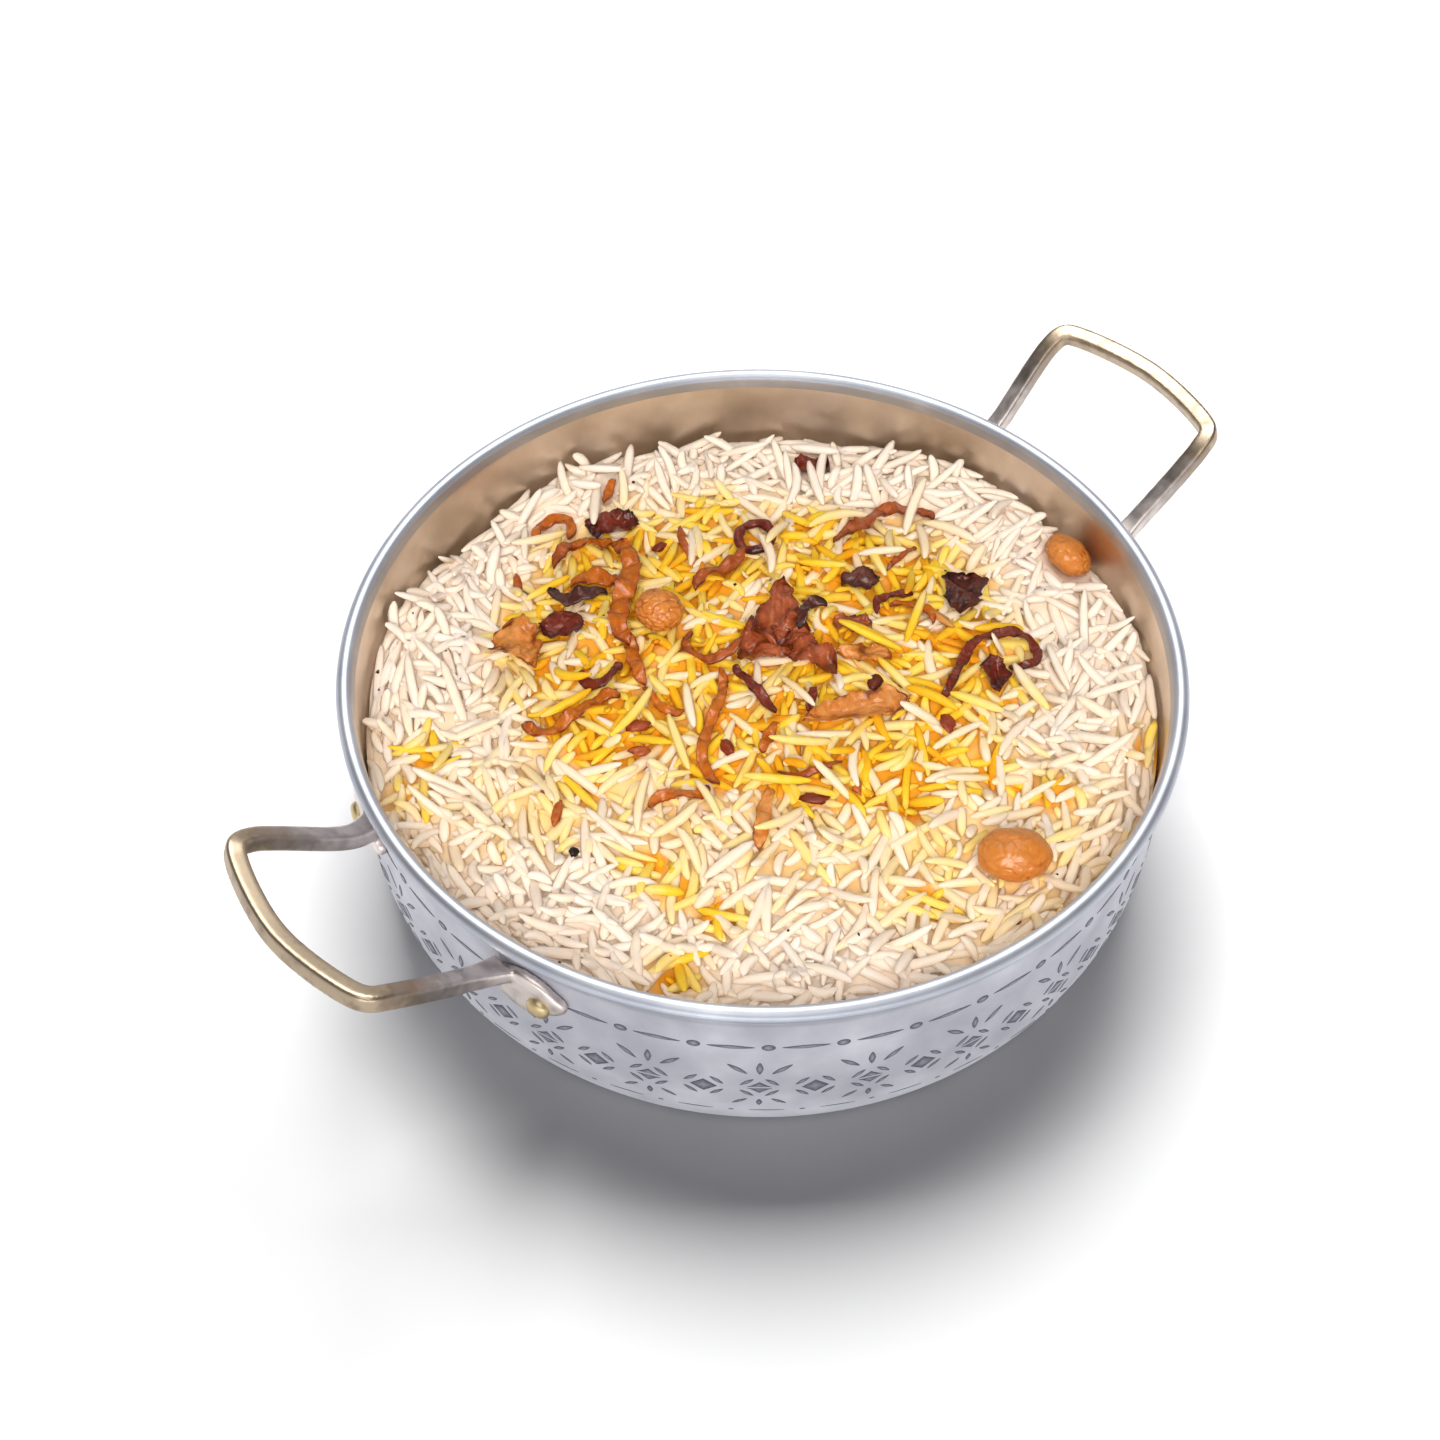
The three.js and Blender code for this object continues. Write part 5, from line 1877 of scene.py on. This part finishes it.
@dataclass
class Crumbs:
    """Crumbs of fried onion and seeds lying in the rice: place, heading, length, width and char."""

    mound: Mound
    thick: float = 1.5
    seat: float = 0.75
    specks: int = 26
    speck_size: float = 0.8
    speck_sizes: tuple[float, float] = (0.5, 1.3)
    speck_char: tuple[float, float] = (0.6, 1.0)
    speck_seat: float = 0.8
    speck_tries: int = 6
    speck_depth: float = 0.1
    lumps: Layers = ((0.3, 1.3, 0), (0.16, 0.6, 1))
    rows: int = 7
    columns: int = 12
    seed: int = 31
    crumbs: tuple[tuple[float, ...], ...] = (
        (44.5, -9, -81, 10, 2, 0.05), (19.5, -15, 20, 5.0, 3.4, 0.7), (24, -33, 60, 5, 3.4, 0.5),
        (-57, -7, 30, 2.4, 2.2, 1.0), (-14, 70, 10, 3.6, 2.6, 0.5), (-19, 63, 60, 7, 2.2, 0.4),
        (11.6, 49, 0, 4, 2.4, 0.6), (16.5, 46, 65, 11, 2.2, 0.4), (-27, 9, -30, 6, 2.8, 0.45),
        (-31, 3.5, -40, 4.4, 2.6, 0.4), (-16.5, -8, 70, 4.6, 2.8, 0.5), (-11.5, -30, -40, 6.4, 3, 0.6),
        (-2.4, -33, 50, 5, 2.4, 0.35), (0, -77, 0, 3, 2.6, 0.55), (73, -4, 30, 5, 1.8, 0.08),
        (42.4, 54.4, -20, 4, 2.6, 0.5), (47, 50.5, 10, 3.4, 2.6, 0.4), (-53, 8, 60, 4.4, 2, 0.4),
        (-53.5, 3, 40, 7.4, 2.2, 0.35), (79, 28, 10, 5, 3, 0.15),
    )

    def build(self, material: bpy.types.Material, grains: np.ndarray) -> None:
        """Makes each crumb a lumpy ball pulled out to its length, and each speck a small one on a grain.

        Args:
            material: finish of the crumbs.
            grains: place of every grain.
        """
        rng = np.random.default_rng(self.seed)
        table = np.array(self.crumbs)
        seat = self.mound.top(table[:, 0], table[:, 1]) + self.seat
        tops = grains[rng.permutation(len(grains))[:self.specks * self.speck_tries]]
        high = tops[:, 2] > self.mound.top(tops[:, 0], tops[:, 1]) - self.speck_depth
        tops = tops[high][:self.specks]
        count = len(tops)
        size = self.speck_size * rng.uniform(*self.speck_sizes, (count, 2))
        heading, char = rng.uniform(0, 180, count), rng.uniform(*self.speck_char, count)
        table = np.concatenate([table, np.column_stack([tops[:, :2], heading, size, char])])
        seat = np.append(seat, tops[:, 2] + self.speck_seat)
        thick = np.append(np.full(len(self.crumbs), self.thick), size[:, 1])
        ball = unit_ball(self.rows, self.columns)[None]
        apart = 7 * np.arange(len(table))[:, None, None, None]
        lumpy = ball * (0.95 + relief(ball + apart, self.lumps, self.seed + 2))[..., None]
        half = np.stack([table[:, 3] / 2, table[:, 4] / 2, thick / 2], -1)
        ends = np.array([[0, 0, 1], [0, 0, -1]])[None] * half[:, None]
        heading = np.radians(table[:, 2])
        cos, sin, none = np.cos(heading), np.sin(heading), np.zeros(len(table))
        turn = np.stack([cos, sin, none, -sin, cos, none, none, none, none + 1], -1).reshape(-1, 3, 3)
        middle = np.column_stack([table[:, :2], seat])
        rings = np.einsum("kabi,kij->kabj", lumpy * half[:, None, None], turn) + middle[:, None, None]
        ends = np.einsum("kbi,kij->kbj", ends, turn) + middle[:, None]
        shell = loft(rings, ends)
        shell.tags["char"] = np.repeat(table[:, 5], self.rows * self.columns + 2)
        put_piece("spice_crumbs", shell, [material], ("rice",))


class Reach(Enum):
    """What a light may fall on, by how the names of the objects begin."""

    FLOOR = ("floor",)
    METAL = ("pan", "etched", "handle", "rivet")
    FOOD = ("rice", "raisin", "onion", "spice")


@dataclass(frozen=True)
class Panel:
    """A soft light panel that looks at the pan: place and size in metres, watts, colour and reach."""

    name: str
    place: Place
    size: tuple[float, float]
    power: float
    colour: str
    reach: tuple[Reach, ...]
    aim: Place = (0, 0, 0.03)

    def hang(self) -> None:
        """Adds the light, linked to the pieces that it falls on."""
        data = bpy.data.lights.new(self.name, "AREA")
        data.shape = "RECTANGLE"
        data.size, data.size_y = self.size
        data.energy = self.power
        data.color = linear(self.colour)[:3]
        lamp = bpy.data.objects.new(self.name, data)
        lamp.location = self.place
        lamp.rotation_mode = "QUATERNION"
        lamp.rotation_quaternion = (lamp.location - Vector(self.aim)).to_track_quat("Z", "Y")
        bpy.context.scene.collection.objects.link(lamp)
        receivers = bpy.data.collections.new(f"{self.name}_receivers")
        starts = tuple(start for kind in self.reach for start in kind.value)
        for thing in bpy.data.objects:
            if thing.name.startswith(starts):
                receivers.objects.link(thing)
        lamp.light_linking.receiver_collection = receivers


def swing(one: np.ndarray, other: np.ndarray, degrees: float) -> tuple[np.ndarray, np.ndarray]:
    """Turns two axes in their plane, the first towards the second."""
    c, s = math.cos(math.radians(degrees)), math.sin(math.radians(degrees))
    return one * c + other * s, other * c - one * s


@dataclass
class Studio:
    """Pale floor, soft lights and the camera."""

    focal_px: float = 2073.1
    frame_px: float = 1440.0
    sensor: float = 36.0
    azimuth: float = -41.99
    elevation: float = 49.10
    distance: float = 441.1
    target_height: float = 51.6
    pan: float = -1.12
    tilt: float = -1.81
    roll: float = 1.10
    clip: tuple[float, float] = (0.01, 50.0)
    floor_size: float = 1.8
    floor_lines: int = 9
    surround: str = "#FBFBFF"
    horizon: float = 0.8
    zenith: float = 0.05
    glow_rise: tuple[float, float] = (0.2, 0.5)
    behind: ClassVar[Place] = (0.33, 0.42, 1.16)
    before: ClassVar[Place] = (-0.42, -0.47, 1.10)
    panels: tuple[Panel, ...] = (
        Panel("key_light", behind, (0.78, 0.78), 14.0, "#FFFFFF", (Reach.FLOOR, Reach.METAL)),
        Panel("floor_light", behind, (0.78, 0.78), 23.0, "#FFFFFF", (Reach.FLOOR,)),
        Panel("food_back_light", behind, (0.78, 0.78), 4.0, "#FFFBF4", (Reach.FOOD,)),
        Panel("food_front_light", (-0.60, -0.68, 1.06), (0.8, 0.8), 21.0, "#FFF9F4", (Reach.FOOD,)),
        Panel("metal_front_light", before, (1.0, 1.0), 6.5, "#FFFDFA", (Reach.METAL,)),
        Panel("front_panel", (-0.9, -1.0, 0.10), (1.5, 0.18), 5.4, "#FAFBFF", (Reach.METAL, Reach.FOOD)),
    )

    def place_camera(self) -> None:
        """Puts the camera on a sphere round the rim's middle, looking in, then pans, tilts and rolls it."""
        a, e = math.radians(self.azimuth), math.radians(self.elevation)
        back = np.array([math.cos(e) * math.sin(a), -math.cos(e) * math.cos(a), math.sin(e)])
        right = np.array([math.cos(a), math.sin(a), 0.0])
        ahead = -back
        up = np.cross(right, ahead)
        ahead, right = swing(ahead, right, self.pan)
        ahead, up = swing(ahead, up, self.tilt)
        right, up = swing(right, up, self.roll)
        place = (np.array([0, 0, self.target_height]) + self.distance * back) * MM
        data = bpy.data.cameras.new("camera")
        data.sensor_width = self.sensor
        data.lens = self.sensor * self.focal_px / self.frame_px
        data.clip_start, data.clip_end = self.clip
        camera = bpy.data.objects.new("camera", data)
        rows = np.eye(4)
        rows[:3] = np.stack([right, up, -ahead, place], -1)
        camera.matrix_world = Matrix(rows.tolist())
        bpy.context.scene.collection.objects.link(camera)
        bpy.context.scene.camera = camera

    def floor(self, material: bpy.types.Material) -> None:
        """Lays a flat square under the pan, as a grid.

        Args:
            material: its finish.
        """
        line = np.linspace(-0.5, 0.5, self.floor_lines) * self.floor_size
        x, y = np.meshgrid(line, line, indexing="ij")
        points = np.stack([x, y, np.zeros_like(x)], -1).reshape(-1, 3)
        index = np.arange(x.size).reshape(x.shape)
        faces = np.stack([index[:-1, :-1], index[1:, :-1], index[1:, 1:], index[:-1, 1:]], -1).reshape(-1, 4)
        mesh = bpy.data.meshes.new("floor")
        mesh.from_pydata(points.tolist(), [], faces.tolist())
        mesh.materials.append(material)
        floor = bpy.data.objects.new("floor", mesh)
        bpy.context.scene.collection.objects.link(floor)

    def glow(self) -> None:
        """Sets up the surround: pale round the horizon and dark overhead."""
        world = bpy.data.worlds.new("surround")
        world.use_nodes = True
        tree = world.node_tree
        background = tree.nodes["Background"]
        background.inputs["Color"].default_value = linear(self.surround)
        way = add_node(tree, "ShaderNodeTexCoord")
        axes = add_node(tree, "ShaderNodeSeparateXYZ", {0: way.outputs["Generated"]})
        fall = add_node(tree, "ShaderNodeMapRange", {
            "Value": axes.outputs["Z"], "From Min": self.glow_rise[0], "From Max": self.glow_rise[1],
            "To Min": self.horizon, "To Max": self.zenith})
        tree.links.new(fall.outputs[0], background.inputs["Strength"])
        bpy.context.scene.world = world
        bpy.context.scene.view_settings.view_transform = "Standard"

    def build(self, board: bpy.types.Material) -> None:
        """Sets up the floor, the surround, the lights and the camera.

        Args:
            board: finish of the floor.
        """
        self.floor(board)
        self.glow()
        for panel in self.panels:
            panel.hang()
        self.place_camera()


def main() -> None:
    """Builds every piece in order."""
    logging.basicConfig(level=logging.INFO, format="%(message)s")
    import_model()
    wall = Wall()
    mound = Mound(wall)
    # The outside is painted paler and made less metallic towards its foot: painted light for the floor's
    # bounce.
    outside = SpunSteel("spun_steel_outside", light="#CCCCD4", deep="#B8B8C2", roughness=0.5, metallic=0.5,
                        line_depth=0.3, painted_bounce=0.5)
    rim = SpunSteel("polished_steel_rim", light="#C6CAD2", deep="#B8BCC6", roughness=0.48, metallic=0.95,
                    line_depth=0.03)
    # The inside is coloured paler and warmer than the same steel outside: painted light and a painted warm
    # reflection, brightening a wall that mostly mirrors the rice in shade.
    inside = SpunSteel("spun_steel_inside", light="#F2E6DA", deep="#DACCBC", roughness=0.42, stain_mm=18.0)
    Pan(wall).build([outside.make(), rim.make(), inside.make()])
    EtchedBand(wall).build(EtchedSteel().make())
    # Near the wall the handles' brass is coloured a pale grey: partly the worn feet's own colour, partly
    # painted light for the feet and arms, which face the shaded floor.
    brass = AgedBrass("aged_brass", gold="#B4A28A", brown="#968472", grey="#A89E98", dull="#E2D6D0",
                      dull_reach=92.0, gold_reach=114.0, roughness=0.38).make()
    rivet_brass = AgedBrass("rivet_brass", gold="#D6C296", brown="#C9B58A", grey="#BBA981", dull="#AA9870",
                            dull_reach=60.0, gold_reach=90.0, roughness=0.42).make()
    for side, turned in (("right", False), ("left", True)):
        Handle(wall, side, turned).build(brass, rivet_brass)
    toppings = Toppings(mound)
    toppings.build(RaisinSkin().make(), {fry: FriedOnion(fry).make() for fry in Fry})
    cooked = CookedRice("cooked_rice", (
        (0.0, "#FBEDE0"), (0.2, "#FBE4C4"), (0.42, "#FCE08E"), (0.65, "#FCD23C"), (0.86, "#F8B81E"),
        (1.0, "#EE9A1E")))
    packed = CookedRice("packed_rice", ((0.0, "#FAEAD8"), (0.35, "#F8D494"), (0.8, "#F2AC2C")))
    grains = RiceHeap(mound).build(toppings.points, cooked.make(), packed.make())
    LOG.info("%d grains in all", len(grains))
    Crumbs(mound).build(SpiceCrumb().make(), grains)
    Studio().build(PaintedBoard().make())


if __name__ == "__main__":
    main()
